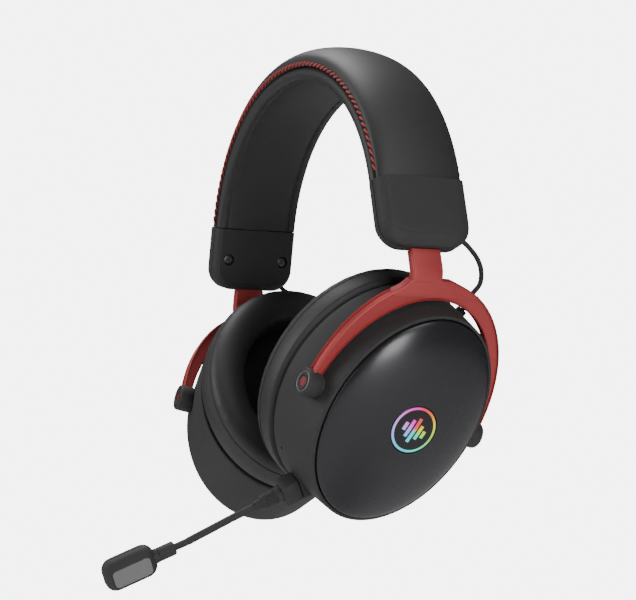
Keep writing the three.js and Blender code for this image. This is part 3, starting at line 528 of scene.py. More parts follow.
def rounded(corners: list[tuple[float, float, float]], steps: int = 6, closed: bool = True) -> Array:
    """A path whose corners are arcs that touch both edges.

    Args:
        corners: (a, b, radius) of each. steps: along an arc. closed: the last joins the first.
    Returns:
        (n, 2) points.
    """
    flat = np.array([corner[:2] for corner in corners], float)
    path: list[Array] = []
    for i, (a, b, radius) in enumerate(corners):
        here = np.array([a, b], float)
        if radius <= 0 or (not closed and i in (0, len(corners) - 1)):
            path.append(here[None])
            continue
        back, on = flat[i - 1] - here, flat[(i + 1) % len(flat)] - here
        back, on = back / np.linalg.norm(back), on / np.linalg.norm(on)
        half = math.acos(float(np.clip(back @ on, -1, 1))) / 2
        middle = here + (back + on) / np.linalg.norm(back + on) * radius / math.sin(half)
        first = here + back * radius / math.tan(half) - middle
        turn = math.pi - 2 * half
        sign = 1.0 if first[1] * back[0] - first[0] * back[1] > 0 else -1.0
        angle = sign * np.linspace(0, turn, steps)
        x = first[0] * np.cos(angle) - first[1] * np.sin(angle)
        y = first[0] * np.sin(angle) + first[1] * np.cos(angle)
        path.append(np.stack([x, y], -1) + middle)
    return np.concatenate(path)


def spaced(path: Array, longest: float, closed: bool = True) -> Array:
    """Adds points so that no step is longer. Args: path, longest: step. closed: it is. Returns: the path."""
    ahead = np.roll(path, -1, 0) if closed else path[1:]
    start = path if closed else path[:-1]
    steps = np.maximum(1, np.ceil(np.linalg.norm(ahead - start, axis=1) / longest).astype(int))
    share = np.concatenate([np.arange(n) / n for n in steps])[:, None]
    made = np.repeat(start, steps, 0) * (1 - share) + np.repeat(ahead, steps, 0) * share
    return made if closed else np.concatenate([made, path[-1:]])


def rounded_box(low: Array, high: Array, radius: float, steps: int = 4) -> Form:
    """A box with rounded edges: a rounded rectangle in YZ, drawn in towards both ends along X by quarter arcs.

    Args:
        low, high: its corners. radius: of its edges. steps: along an arc.
    Returns:
        The form.
    """
    turn = np.linspace(0, np.pi / 2, steps)
    inset = radius * (1 - np.sin(turn))
    rise = radius * (1 - np.cos(turn))
    layers = [(low[0] + r, i) for r, i in zip(rise, inset)] + [
        (high[0] - r, i) for r, i in zip(rise[::-1], inset[::-1])
    ]
    rings = []
    for x, draw in layers:
        corner = max(radius - draw, 0.02) + 0.0
        y0, y1, z0, z1 = low[1] + draw, high[1] - draw, low[2] + draw, high[2] - draw
        ring = rounded([(y0, z0, corner), (y1, z0, corner), (y1, z1, corner), (y0, z1, corner)], steps)
        rings.append(np.concatenate([np.full((len(ring), 1), x), ring], 1))
    return Form.loft(np.stack(rings))


def frame_of(origin: Array, x: Array, y: Array, z: Array) -> Array:
    """Args: origin and the three axes. Returns: the (4, 4) matrix that carries that frame to the row's."""
    made = np.eye(4)
    made[:3, 0], made[:3, 1], made[:3, 2], made[:3, 3] = x, y, z, origin
    return made


def turned_about(axis: int, angle: float, origin: tuple = (0, 0, 0)) -> Array:
    """Args: axis: 0, 1 or 2. angle: radians. origin: where it moves to. Returns: the (4, 4) matrix."""
    made = np.eye(4)
    made[:3, :3] = np.array(Matrix.Rotation(angle, 3, "XYZ"[axis]))
    made[:3, 3] = origin
    return made


class Piece:
    """A finished piece of the headset: its mesh, its finish and the body that it rides on."""

    @staticmethod
    def build(
        form: Form, name: str, finish: bpy.types.Material, side: Side = Side.LEFT, sharp: float = 38.0
    ) -> bpy.types.Object:
        """Makes the object, in metres and in the row frame.

        Args:
            form: its shape, drawn for the left side. name: its name. finish: its material.
            side: the right mirrors it. sharp: the angle in degrees past which an edge shows.
        Returns:
            The object.
        """
        points = form.points * (np.array([side.value, 1, 1]) * MM)
        faces = form.sides[:, :: side.value].tolist() + [end[:: side.value] for end in form.ends]
        mesh = bpy.data.meshes.new(name)
        mesh.from_pydata(points.tolist(), [], faces)
        mesh.materials.append(finish)
        mesh.shade_smooth()
        mesh.set_sharp_from_angle(angle=math.radians(sharp))
        made = bpy.data.objects.new(name, mesh)
        bpy.context.collection.objects.link(made)
        return made

    @staticmethod
    def carve(obj: bpy.types.Object, tools: list[Form], side: Side, operation: str = "DIFFERENCE") -> None:
        """Cuts forms out of a piece, or joins them on. Args: obj, tools, side, operation: as a Boolean's."""
        for tool in tools:
            cutter = Piece.build(tool, "cutter", obj.data.materials[0], side)
            step = obj.modifiers.new("carve", "BOOLEAN")
            step.operation, step.solver, step.object = operation, "EXACT", cutter
            bpy.context.view_layer.update()
            graph = bpy.context.evaluated_depsgraph_get()
            result = bpy.data.meshes.new_from_object(obj.evaluated_get(graph))
            obj.modifiers.clear()
            old, obj.data = obj.data, result
            bpy.data.meshes.remove(old)
            bpy.data.objects.remove(cutter)
        obj.data.shade_smooth()
        obj.data.set_sharp_from_angle(angle=math.radians(32))

    @staticmethod
    def settle(obj: bpy.types.Object, body: str, slot: str, *nodes: str) -> bpy.types.Object:
        """Rides and hides what it replaces. Args: obj, body, slot, nodes. Returns: obj."""
        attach(obj, body)
        if nodes:
            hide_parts(*nodes)
        log.info("%-28s %6d faces on %s", obj.name, len(obj.data.polygons), body)
        return obj


# ---------------------------------------------------------------- places and finishes in common

LEG_LEAN = math.radians(13.062)
LEG = frame_of(
    (68.1459, 0.0, -52.2511), (math.cos(LEG_LEAN), 0.0, math.sin(LEG_LEAN)), (0.0, 1.0, 0.0),
    (-math.sin(LEG_LEAN), 0.0, math.cos(LEG_LEAN)),
)
EAR = frame_of(
    (54.5016, -1.8, -138.1906), (0.8886172, 0.0, -0.4586496), (-0.188011, 0.9121201, -0.3642647),
    (0.4183435, 0.409923, 0.8105257),
)
PIVOT = EAR @ turned_about(0, math.radians(9.3))
ALONG_Z = frame_of((0, 0, 0), (0, 0, 1), (1, 0, 0), (0, 1, 0))


class Slot(Enum):
    """The record's material slots, each with its finish."""

    LEATHERETTE = ("leatherette", Leatherette())
    DARK_STEEL = ("dark_steel", Metal((0.05, 0.05, 0.052), 0.36))
    RED_PAINT = ("red_paint", Painted())
    # Painted shade: the pins' red is the yoke's red darkened about four times, for the shade of the barrels' recesses
    # they sit in.
    RED_PIN = ("red_pin", Painted((0.16, 0.012, 0.014), (0.10, 0.008, 0.010), 0.4))
    GLOSS_BLACK = ("gloss_black", Moulded((0.0105, 0.0105, 0.011), 0.27, 0.35, 0.006, 0.12))
    SATIN_BLACK = ("satin_black", Moulded((0.0175, 0.0175, 0.018), 0.40))
    CIRCUIT_BOARD = ("circuit_board", Circuit())
    BRIGHT_STEEL = ("bright_steel", Metal((0.55, 0.56, 0.58), 0.28))
    CONE_FILM = ("cone_film", Moulded((0.42, 0.36, 0.20), 0.35, 0.5, 0.02))
    SPEAKER_CLOTH = ("speaker_cloth", Knit())
    MIC_SCREEN = ("mic_screen", Moulded((0.15, 0.15, 0.152), 0.6, 0.3, 0.02))
    BATTERY_WRAP = ("battery_wrap", Moulded((0.22, 0.26, 0.31), 0.3, 2.0, 0.05))
    RUBBER = ("rubber", Moulded((0.014, 0.014, 0.0145), 0.55, 0.2, 0.01))

    @property
    def word(self) -> str:
        """The slot's name in the record."""
        return self.value[0]

    def finish(self) -> bpy.types.Material:
        """Returns: the slot's material, made once."""
        return bpy.data.materials.get(self.word) or self.value[1].material(self.word)


def slab(
    length: float, width: float, corner: float, layers: list[tuple[float, float]], steps: int = 6
) -> Form:
    """A rounded rectangle in XY, repeated at each layer's Z and drawn in by the layer's inset.

    Args:
        length, width: along X and Y. corner: radius. layers: (z, inset) of each. steps: along a corner's arc.
    Returns:
        The form.
    """
    rings = []
    for z, inset in layers:
        a, b, r = length / 2 - inset, width / 2 - inset, max(corner - inset, 0.05)
        ring = rounded([(-a, -b, r), (a, -b, r), (a, b, r), (-a, b, r)], steps)
        rings.append(np.concatenate([ring, np.full((len(ring), 1), z)], 1))
    return Form.loft(np.stack(rings))


def tube(points: Array, radius: float, each: int = 14, around: int = 14) -> Form:
    """A round tube through points: a Catmull-Rom curve, with a ring square to it at every step.

    Args:
        points: (n, 3). radius: of the tube. each: steps between two points. around: of a ring.
    Returns:
        The form.
    """
    ends = np.stack([2 * points[0] - points[1], 2 * points[-1] - points[-2]])
    row = np.concatenate([ends[:1], points, ends[1:]])
    t = np.linspace(0, 1, each, endpoint=False)[None, :, None]
    a, b, c, d = (row[i : len(row) - 3 + i][:, None] for i in range(4))
    line = 0.5 * (2 * b + (c - a) * t + (2 * a - 5 * b + 4 * c - d) * t**2 + (3 * b - a - 3 * c + d) * t**3)
    line = np.concatenate([line.reshape(-1, 3), points[-1:]])
    ahead = np.gradient(line, axis=0)
    ahead /= np.linalg.norm(ahead, axis=1, keepdims=True)
    side = np.array([1.0, 0, 0]) - ahead * ahead[:, :1]
    side /= np.linalg.norm(side, axis=1, keepdims=True)
    other = np.cross(ahead, side)
    angle = np.linspace(0, 2 * np.pi, around, endpoint=False)[None, :, None]
    return Form.loft(line[:, None] + radius * (side[:, None] * np.cos(angle) + other[:, None] * np.sin(angle)))


def keep(slot: Slot, *nodes: str) -> None:
    """Gives nodes of the frame a slot's finish. Args: slot: whose. nodes: their names."""
    for node in nodes:
        mesh = bpy.data.objects[node].data
        mesh.materials.clear()
        mesh.materials.append(slot.finish())


# ---------------------------------------------------------------- the headband


@dataclass(frozen=True)
class Headband:
    """A pad under a spring strip and a crowned cover over it, sewn together along both edges.

    All three follow one arch: half a superellipse across the head. A station is 0 at its top and 1 or -1
    where the legs meet the end caps, and a height is square to it, outward from the pad's underside.
    """

    half_width: float = 70.0
    height: float = 69.0
    squareness: float = 2.06
    leg_drop: float = 52.3
    facets: int = 35
    seam: float = 7.3
    crown: float = 8.2
    leg_crown: float = 4.4
    edge: float = 18.9
    pitch: float = 3.3

    def carry(self, station: Array, across: Array | float, height: Array | float) -> Array:
        """Args: station, across, height: of each point. Returns: their places."""
        leg = math.acos(((self.height - self.leg_drop) / self.height) ** (self.squareness / 2))
        drop = self.height * (1 - math.cos(leg / self.facets) ** (2 / self.squareness))
        side = np.sign(station)
        sideways = np.sin(np.abs(station) * leg) ** (2 / self.squareness)
        upward = np.cos(np.abs(station) * leg) ** (2 / self.squareness)
        out = side * sideways ** (self.squareness - 1) / self.half_width
        up = upward ** (self.squareness - 1) / self.height
        length = np.hypot(out, up)
        x = side * self.half_width * sideways + out / length * height
        z = self.height * (upward - 1) + drop + up / length * height
        return np.stack(np.broadcast_arrays(x, across, z), -1)

    def rule(self) -> tuple[Array, Array]:
        """Returns: stations, and how far along the seam each one is."""
        station = np.linspace(-1, 1, 2401)
        line = self.carry(station, 0.0, self.seam)
        run = np.concatenate([[0.0], np.cumsum(np.linalg.norm(np.diff(line, axis=0), axis=1))])
        return station, run

    def cover(self) -> Form:
        """The cover: its height is the seam's plus the crown times the sine of the turn across, to the power
        0.9, and the crown sinks with the cube of the station. Stitches pull small puckers in beside the seam.

        Returns:
            The form.
        """
        rule, run = self.rule()
        at = np.linspace(0, run[-1], 421)
        station = np.interp(at, run, rule)[:, None]
        turn = (np.pi * (1 - np.cos(np.linspace(0, np.pi, 57))) / 2)[None, :]
        share = 1 - (1 - self.leg_crown / self.crown) * np.abs(station) ** 3
        rise = self.crown * share * np.sin(turn) ** 0.9
        near = np.exp(-(self.edge * (1 - np.abs(np.cos(turn))) + rise) / 2.2)
        pucker = 0.16 * near * np.cos(2 * np.pi * at[:, None] / self.pitch)
        end = 0.35 * np.exp(-np.minimum(at, run[-1] - at)[:, None] / 1.6)
        crown = self.seam + rise + (pucker - end) * np.sin(turn) ** 0.4
        across = self.edge + 0.35 * np.sin(turn) * np.abs(np.cos(turn)) - 0.2 * near
        across = across * np.cos(turn) + 0 * station
        base = np.array([
            (-18.6, 6.7), (-18.2, 6.1), (-10.3, 6.0), (-10.3, 7.5),
            (10.3, 7.5), (10.3, 6.0), (18.2, 6.1), (18.6, 6.7),
        ])
        rows = len(at)
        across = np.concatenate([across, np.broadcast_to(base[:, 0], (rows, len(base)))], 1)
        height = np.concatenate([crown, np.broadcast_to(base[:, 1], (rows, len(base)))], 1)
        return Form.loft(self.carry(station, across, height))

    def pad(self) -> Form:
        """The pad: a nearly flat underside between two sewn grooves, and a rolled edge outside each.

        Returns:
            The form.
        """
        rule, run = self.rule()
        at = np.linspace(0, run[-1], 301)
        station = np.interp(at, run, rule)[:, None]
        under = np.linspace(0, 14.6, 14)
        flat = np.stack([under, 0.45 * (under / 14.6) ** 4], -1)
        groove = np.array([(14.95, 0.62), (15.15, 0.95), (15.3, 1.02), (15.45, 0.9)])
        turn = np.radians(np.linspace(-118, 86, 26))
        cosine, sine = np.cos(turn), np.sin(turn)
        roll = np.stack([
            16.3 + 2.75 * np.sign(cosine) * np.abs(cosine) ** 0.85,
            2.95 + 2.8 * np.sign(sine) * np.abs(sine) ** 0.85,
        ], -1)
        right = np.concatenate([flat, groove, roll, [(14.0, 5.7)]])
        section = np.concatenate([right, right[:0:-1] * (-1, 1)])
        side = np.abs(section[:, 0])[None, :]
        wave = np.cos(2 * np.pi * at[:, None] / 9.7) + np.cos(2 * np.pi * at[:, None] / 6.1 + 1.3)
        pucker = 0.07 * wave * np.exp(-(((side - 15.2) / 1.3) ** 2))
        return Form.loft(self.carry(station, section[None, :, 0] + 0 * station, section[None, :, 1] + pucker))

    def stitches(self) -> Form:
        """Slanting stitches side by side along both edges: each a thin sausage from under the seam to over it.

        Returns:
            The form.
        """
        rule, run = self.rule()
        start = np.arange(1.2, run[-1] - self.pitch - 1.4, self.pitch)[:, None, None]
        u = np.linspace(0, 1, 9)[None, :, None]
        angle = np.linspace(0, 2 * np.pi, 8, endpoint=False)[None, None, :]
        radius = 0.44 * np.sqrt(np.maximum(1 - (2 * u - 1) ** 6, 0.003))
        slant = math.atan2(1.7, 3.7)
        along = start + 3.7 * u - radius * np.sin(angle) * math.sin(slant)
        height = 6.1 + 1.7 * u + radius * np.sin(angle) * math.cos(slant)
        out = 18.62 + 0.42 * np.sin(np.pi * u) + radius * np.cos(angle) + 0 * start
        station = np.interp(along, run, rule)
        return Form.many(np.concatenate([self.carry(station, sign * out, height) for sign in (-1, 1)]))

    def build(self) -> None:
        """Makes the band's pieces and carves the pad's pockets for the yokes' blades."""
        leather = Slot.LEATHERETTE
        cover = Piece.build(self.cover(), "headband_cover_padded", leather.finish(), sharp=60)
        Piece.settle(cover, "headband", leather.word, "headband_cover")
        pad = Piece.build(self.pad(), "headband_pad_rolled", leather.finish(), sharp=60)
        pocket = rounded_box((1.6, -6.9, -1.0), (7.7, 6.9, 11.1), 0.2).moved(LEG)
        for side in Side:
            Piece.carve(pad, [pocket], side)
        Piece.settle(pad, "headband", leather.word, "headband_pad")
        thread = Thread().material("red_thread")
        stitches = Piece.build(self.stitches(), "edge_stitching", thread, sharp=80)
        Piece.settle(stitches, "headband", Slot.RED_PAINT.word)
        keep(Slot.DARK_STEEL, "headband_spring")


@dataclass(frozen=True)
class EndCap:
    """A two-part cap on the end of the band: rounded below, open-topped in outline, screwed from inside.

    It is drawn in the leg's frame: X outward, Y rearward and Z up the leg.
    """

    side: Side
    half: float = 19.3
    low: float = -27.6
    top: float = -0.3
    spread: float = 13.2
    screw_height: float = -14.1

    def ring(self, x: float, inset: float, lift: float, corner: float) -> Array:
        """One outline. Args: x: place. inset: of its sides. lift: of its foot. corner: radius. Returns: it."""
        half, low = self.half - inset, self.low + lift
        corner = min(corner, half * 0.92, (self.top - low) * 0.9)
        small = min(0.3, half * 0.3)
        corners = [(-half, self.top, small), (-half, low, corner), (half, low, corner), (half, self.top, small)]
        path = rounded(corners, 12)
        return np.concatenate([np.full((len(path), 1), x), path], 1)

    def outer(self) -> Form:
        """The outer shell: a straight side, a broad bevel deeper at the foot, and a gently crowned panel.

        Returns:
            The form.
        """
        layers = [
            (4.9, 0.3, 0.3, 9.2), (5.05, 0.08, 0.08, 9.4), (5.3, 0.0, 0.0, 9.5), (8.0, 0.0, 0.0, 9.5),
            (8.5, 0.08, 0.12, 9.4), (9.0, 0.3, 0.6, 9.1), (10.7, 1.35, 3.4, 7.4), (10.95, 1.6, 3.95, 6.9),
            (11.02, 1.75, 4.2, 6.6), (11.05, 1.9, 4.45, 6.3), (11.25, 2.02, 4.6, 6.1), (11.4, 2.3, 4.95, 5.8),
        ]
        for share in np.linspace(0.12, 0.985, 16) ** 0.9:
            crown = 11.4 + 0.8 * (1 - (1 - share) ** 2)
            layers.append((crown, 2.3 + 16.8 * share, 4.95 + 18.1 * share, 5.8 * (1 - share) + 0.4))
        return Form.loft(np.stack([self.ring(*layer) for layer in layers]))

    def inner(self) -> Form:
        """The inner shell, with a flat panel that stands a little proud. Returns: the form."""
        layers = [
            (4.6, 0.3, 0.3, 9.2), (4.45, 0.08, 0.08, 9.4), (4.2, 0.0, 0.0, 9.5), (2.4, 0.0, 0.0, 9.5),
            (2.0, 0.1, 0.2, 9.3), (0.6, 0.9, 1.9, 7.7), (0.35, 1.15, 2.3, 7.3), (0.28, 1.35, 2.6, 6.9),
            (0.1, 1.5, 2.75, 6.7), (-0.2, 1.62, 2.9, 6.5), (-0.36, 1.9, 3.2, 6.2), (-0.4, 2.2, 3.5, 6.0),
            (-0.4, 9.0, 12.0, 4.0),
        ]
        return Form.loft(np.stack([self.ring(*layer) for layer in layers]))

    def screw(self, y: float) -> bpy.types.Object:
        """Args: y: its place. Returns: a pan-headed screw with a cross recess."""
        profile = np.array([
            (8.6, 0.05), (8.6, 1.0), (1.6, 1.0), (1.6, 2.2),
            (0.75, 2.2), (0.45, 2.1), (0.25, 1.8), (0.2, 1.4), (0.2, 0.05),
        ])
        place = LEG @ turned_about(0, 0.35 * (1 if y > 0 else -1), (0.0, y, self.screw_height))
        end = End.REAR if y > 0 else End.FRONT
        name = f"cap_screw_{end.word}_{self.side.word}"
        made = Piece.build(
            Form.turned(profile, 40).moved(place), f"{name}_crosshead", Slot.DARK_STEEL.finish(), self.side
        )
        arms = [
            rounded_box((-0.5, -1.25, -0.26), (0.95, 1.25, 0.26), 0.05).moved(place),
            rounded_box((-0.5, -0.26, -1.25), (0.93, 0.26, 1.25), 0.05).moved(place),
        ]
        Piece.carve(made, arms, self.side)
        return Piece.settle(made, "headband", Slot.DARK_STEEL.word, name)

    def build(self) -> None:
        """Makes both shells and the screws."""
        word, satin = self.side.word, Slot.SATIN_BLACK
        form = self.outer().moved(LEG)
        outer = Piece.build(form, f"end_cap_outer_{word}_shell", satin.finish(), self.side, 30)
        corner = 9.0 * (1 - math.sqrt(0.5))
        hole = Form.turned(np.array([(-3.0, 1.25), (1.5, 1.25)]), 24)
        slant = 0.70711
        lead_foot = (7.5, self.half - corner, self.low + corner)
        way = frame_of(lead_foot, (0, slant, -slant), (1, 0, 0), (0, -slant, -slant))
        Piece.carve(outer, [hole.moved(LEG @ way)], self.side)
        Piece.settle(outer, "headband", satin.word, f"end_cap_outer_{word}")
        form = self.inner().moved(LEG)
        inner = Piece.build(form, f"end_cap_inner_{word}_shell", satin.finish(), self.side, 30)
        wells = [
            Form.turned(np.array([(-1.5, 2.5), (1.8, 2.5)]), 40).moved(
                LEG @ turned_about(0, 0, (0, y, self.screw_height))
            )
            for y in (-self.spread, self.spread)
        ]
        slot = rounded_box((1.9, -6.3, -31.0), (5.2, 6.3, 1.0), 0.1).moved(LEG)
        Piece.carve(inner, [*wells, slot], self.side)
        Piece.settle(inner, "headband", satin.word, f"end_cap_inner_{word}")
        for y in (-self.spread, self.spread):
            self.screw(y)


# ---------------------------------------------------------------- the yokes


@dataclass(frozen=True)
class Yoke:
    """A painted fork round the cup, its neck bent up into the end cap, and a barrel at each arm's tip.

    The fork is flat in the cup's YZ plane. Its inner edge is an oval, and its outer edge stands off it by a
    width that grows from the tips to the shoulders, then leaves it along two flares up to the neck.
    """

    side: Side
    inner: tuple[float, float] = (37.2, 48.4)
    lean: float = math.radians(24.2)
    tilt: float = math.radians(27.3)
    length: float = 57.0
    forward: float = 1.8
    neck: float = 6.6
    thick: float = 4.5
    tip: float = 4.2
    shoulders: tuple[float, float] = (5.4, 10.0)
    overrun: float = 3.6
    merges: tuple[float, float] = (math.radians(86), math.radians(133))
    straights: tuple[tuple[float, float], ...] = ((1.2, 8.0), (2.1, 5.6))
    bend: tuple[float, float] = (80.6447, -87.5394)

    @property
    def rear_tip(self) -> float:
        """The angle of the rear pivot round the fork's oval."""
        swing = math.radians(9.3)
        return math.atan2(math.sin(swing) / self.inner[1], math.cos(swing) / self.inner[0])

    def edge(self, angle: Array, out: Array | float) -> Array:
        """Args: angle: round the oval. out: how far outside it. Returns: (n, 2) places in YZ."""
        y, z = self.inner[0] * np.cos(angle), self.inner[1] * np.sin(angle)
        normal = np.stack([np.cos(angle) / self.inner[0], np.sin(angle) / self.inner[1]], -1)
        normal /= np.linalg.norm(normal, axis=-1, keepdims=True)
        return np.stack([y, z], -1) + normal * np.asarray(out)[..., None]

    def width(self, angle: Array) -> Array:
        """Args: angle: round the oval. Returns: the arm's width there."""
        along = angle - self.rear_tip
        shoulder = self.shoulders[0] + (self.shoulders[1] - self.shoulders[0]) * (1 - np.cos(along)) / 2
        return self.tip + (shoulder - self.tip) * np.maximum(np.sin(along), 0) ** 1.5

    def flare(self, sign: int) -> Array:
        """A cubic curve from a corner of the neck to the arm's outer edge, smooth at both.

        Args:
            sign: 1 for the rear one, -1 for the front one.
        Returns:
            (n, 2) places in YZ.
        """
        up = np.array([-math.sin(self.lean), math.cos(self.lean)])
        rearward = np.array([math.cos(self.lean), math.sin(self.lean)])
        start = (self.forward + sign * self.neck) * rearward + self.length * up
        which = 0 if sign > 0 else 1
        angle = np.array([self.merges[which]])
        meet = self.edge(angle, self.width(angle))[0]
        along = self.edge(angle + 0.01 * sign, self.width(angle))[0] - meet
        from_neck, from_arm = self.straights[which]
        first = start - up * from_neck
        second = meet + along / np.linalg.norm(along) * from_arm
        t = np.linspace(0, 1, 41)[:, None]
        return (1 - t) ** 3 * start + 3 * t * (1 - t) ** 2 * first + 3 * t**2 * (1 - t) * second + t**3 * meet

    def arms(self) -> Form:
        """Rounded rectangles from the inner edge to the outer one, from the rear tip round to the front tip.

        Returns:
            The form, in the cup's frame.
        """
        run = self.overrun / self.inner[1]
        rear, front = self.flare(1), self.flare(-1)
        up = np.array([-math.sin(self.lean), math.cos(self.lean)])
        rear, front = (flare[flare @ up < self.length - 2.2] for flare in (rear, front))
        first = np.linspace(self.rear_tip - run, self.merges[0], 60)
        last = np.linspace(self.merges[1], self.rear_tip + math.pi + run, 60)
        share = np.linspace(0, 1, 9)[1:-1, None]
        outer = np.concatenate([
            self.edge(first, self.width(first)), rear[::-1][1:], rear[0] * (1 - share) + front[0] * share,
            front[:-1], self.edge(last, self.width(last)),
        ])
        corners = np.radians([103.0, 124.0])
        angles = np.concatenate([
            first, np.linspace(self.merges[0], corners[0], len(rear))[1:],
            np.linspace(corners[0], corners[1], 9)[1:-1],
            np.linspace(corners[1], self.merges[1], len(front))[:-1], last,
        ])
        inner = self.edge(angles, 0.0)
        across = outer - inner
        wide = np.linalg.norm(across, axis=1)[:, None]
        across /= wide
        radius, half = 0.75, self.thick / 2
        turn = np.radians([0, 22.5, 45, 67.5, 90])
        inset, drop = radius * (1 - np.sin(turn)), radius * (1 - np.cos(turn))
        low = np.stack([drop, half - inset], -1)
        d = [low[::-1, 0] + 0 * wide, wide - low[:, 0], wide - low[::-1, 0], low[:, 0] + 0 * wide]
        d = np.concatenate(d, 1)
        x = np.concatenate([low[::-1, 1], low[:, 1], -low[::-1, 1], -low[:, 1]])
        flat = inner[:, None] + across[:, None] * d[..., None]
        return Form.loft(np.concatenate([np.broadcast_to(x[None, :, None], (*d.shape, 1)), flat], -1))

    def stem(self) -> Form:
        """The neck: slices from inside the fork, round the bend and up to the cap, as wide as the flares.

        Returns:
            The form, in the row frame.
        """
        rearward = np.array([math.cos(self.lean), math.sin(self.lean)])
        up = np.array([-math.sin(self.lean), math.cos(self.lean)])
        rear, front = self.flare(1), self.flare(-1)
        turned = self.tilt + LEG_LEAN
        radius = 7.0
        reach = radius * math.tan(turned / 2)
        below = np.array([math.sin(self.tilt), math.cos(self.tilt)])
        above = np.array([-math.sin(LEG_LEAN), math.cos(LEG_LEAN)])
        bend = np.array(self.bend)
        side = np.array([below[1], -below[0]])
        centre = bend - below * reach - side * radius
        angle = np.linspace(0, turned, 15)[1:-1, None]
        arc = centre + radius * (side * np.cos(angle) + below * np.sin(angle))
        low = bend - below * np.linspace(9.0, reach, 12)[:, None]
        high = bend + above * np.linspace(reach, 9.3, 6)[:, None]
        line = np.concatenate([low, arc, high])
        ahead = np.gradient(line, axis=0)
        ahead /= np.linalg.norm(ahead, axis=1, keepdims=True)
        out = np.stack([ahead[:, 1], -ahead[:, 0]], -1)
        level = self.length - np.concatenate([np.linspace(9.0, reach, 12), np.zeros(len(line) - 12)])
        level[12:] = self.length
        sides = [
            -self.forward + np.interp(level, (flare @ up)[::-1], (flare @ rearward)[::-1])
            for flare in (front, rear)
        ]
        half = np.linspace(self.thick / 2 - 0.02, 2.0, len(line))
        rings = []
        for i, (start, end) in enumerate(zip(*sides)):
            h = half[i]
            ring = rounded([(start, -h, 0.75), (end, -h, 0.75), (end, h, 0.75), (start, h, 0.75)], 5)
            x, z = line[i, :, None] + out[i, :, None] * ring[:, 1]
            rings.append(np.stack([x, ring[:, 0], z], -1))
        return Form.loft(np.stack(rings))

    def on_pivot(self, end: End) -> Array:
        """Args: end: which. Returns: the frame whose X runs out along the pivot axis."""
        return PIVOT @ frame_of((0, 0, 0), (0, end.value, 0), (0, 0, 1), (end.value, 0, 0))

    def barrel(self, end: End) -> None:
        """A turned boss with a stepped end face round its recess. Args: end: which."""
        word = self.side.word
        profile = np.array([
            (36.7, 1.35), (36.7, 5.0), (36.85, 5.35), (37.2, 5.5), (42.1, 5.5), (42.6, 5.4),
            (42.9, 5.15), (43.0, 4.8),
            (43.0, 4.55), (42.75, 4.45), (42.7, 4.3), (42.7, 3.4), (42.78, 3.25), (43.0, 3.15), (43.05, 2.95),
            (43.0, 2.55), (42.85, 2.4), (41.7, 2.35), (41.7, 1.35),
        ])
        name = f"pivot_barrel_{end.word}_{word}"
        made = Piece.build(
            Form.turned(profile, 72, True).moved(self.on_pivot(end)), f"{name}_turned",
            Slot.SATIN_BLACK.finish(),
            self.side, 50,
        )
        Piece.settle(made, f"yoke_{word}", Slot.SATIN_BLACK.word, name)
        ring = np.array([(42.6, 3.42), (42.6, 4.42), (42.86, 4.4), (42.92, 4.3), (42.92, 3.55), (42.86, 3.45)])
        washer = Piece.build(
            Form.turned(ring, 72, True).moved(self.on_pivot(end)), f"pivot_washer_{end.word}_{word}",
            Slot.DARK_STEEL.finish(), self.side, 50,
        )
        Piece.settle(washer, f"yoke_{word}", Slot.DARK_STEEL.word)

    def build(self) -> None:
        """Makes the fork, its neck and blade as one piece, and the barrels."""
        word, paint = self.side.word, Slot.RED_PAINT
        blade = rounded_box((2.24, -6.0, -31.0), (4.16, 6.0, 10.5), 0.4).moved(LEG)
        form = self.arms().moved(EAR).with_(self.stem(), blade)
        made = Piece.build(form, f"yoke_{word}_painted", paint.finish(), self.side, 35)
        Piece.settle(made, f"yoke_{word}", paint.word, f"yoke_{word}")
        for end in End:
            self.barrel(end)
            # The pins take the darkened red that paints the shade of the barrel's recess.
            keep(Slot.RED_PIN, f"pivot_pin_{end.word}_{word}")


# ---------------------------------------------------------------- the ear cups


def stretch(x: Array | float) -> Array:
    """Args: x: along the cup's axis. Returns: how much longer than wide its ovals are, each half-axis."""
    return 7.7 + 3.4 * np.clip((np.asarray(x) + 18.7) / 29.0, 0, 1)


def wall_half(x: Array | float) -> Array:
    """Args: x: along the cup's axis. Returns: the housing's outer half-width, rounding in towards the rim."""
    return 39.2 - 5.0 * np.clip((np.asarray(x) + 18.7) / 29.0, 0, 1) ** 1.15


def ovals(profile: Array, around: int = 144) -> Array:
    """Carries a profile round the cup: outside a core every oval is an offset, and inside it a scaled copy.

    Args:
        profile: (n, 2) of x and half-width. around: steps.
    Returns:
        (n, around, 3) rings in the cup's frame.
    """
    x, half = profile[:, :1], profile[:, 1:]
    extra = stretch(x)
    tall = np.where(half >= 24.0, half + extra, half * (24.0 + extra) / 24.0)
    angle = np.linspace(0, 2 * np.pi, around, endpoint=False)
    return np.stack([x + 0 * angle, half * np.cos(angle), tall * np.sin(angle)], -1)


def wall(x: float, angle: float, aim: float | None = None) -> Array:
    """A frame on the housing's wall: X round the rim, Y along the cup's axis and Z straight out.

    Args:
        x: along the cup's axis. angle: round its oval, degrees. aim: the way Z points, if not square out.
    Returns:
        The (4, 4) matrix to the row frame.
    """
    turn = math.radians(angle)
    half = float(wall_half(x))
    tall = half + float(stretch(x))
    out = math.radians(aim) if aim is not None else math.atan2(math.sin(turn) / tall, math.cos(turn) / half)
    round_ = (0.0, -math.sin(out), math.cos(out))
    outward = (0.0, math.cos(out), math.sin(out))
    place = (x, half * math.cos(turn), tall * math.sin(turn))
    return EAR @ frame_of(place, round_, (1.0, 0.0, 0.0), outward)


MIC_PLACE = (-7.6, 253.2, 233.3)
CONTROLS = {"power": (299.0, 8.0), "mute": (318.0, 6.0)}
WHEEL = (-3.0, 338.0)
PORT = (-3.0, 276.0)


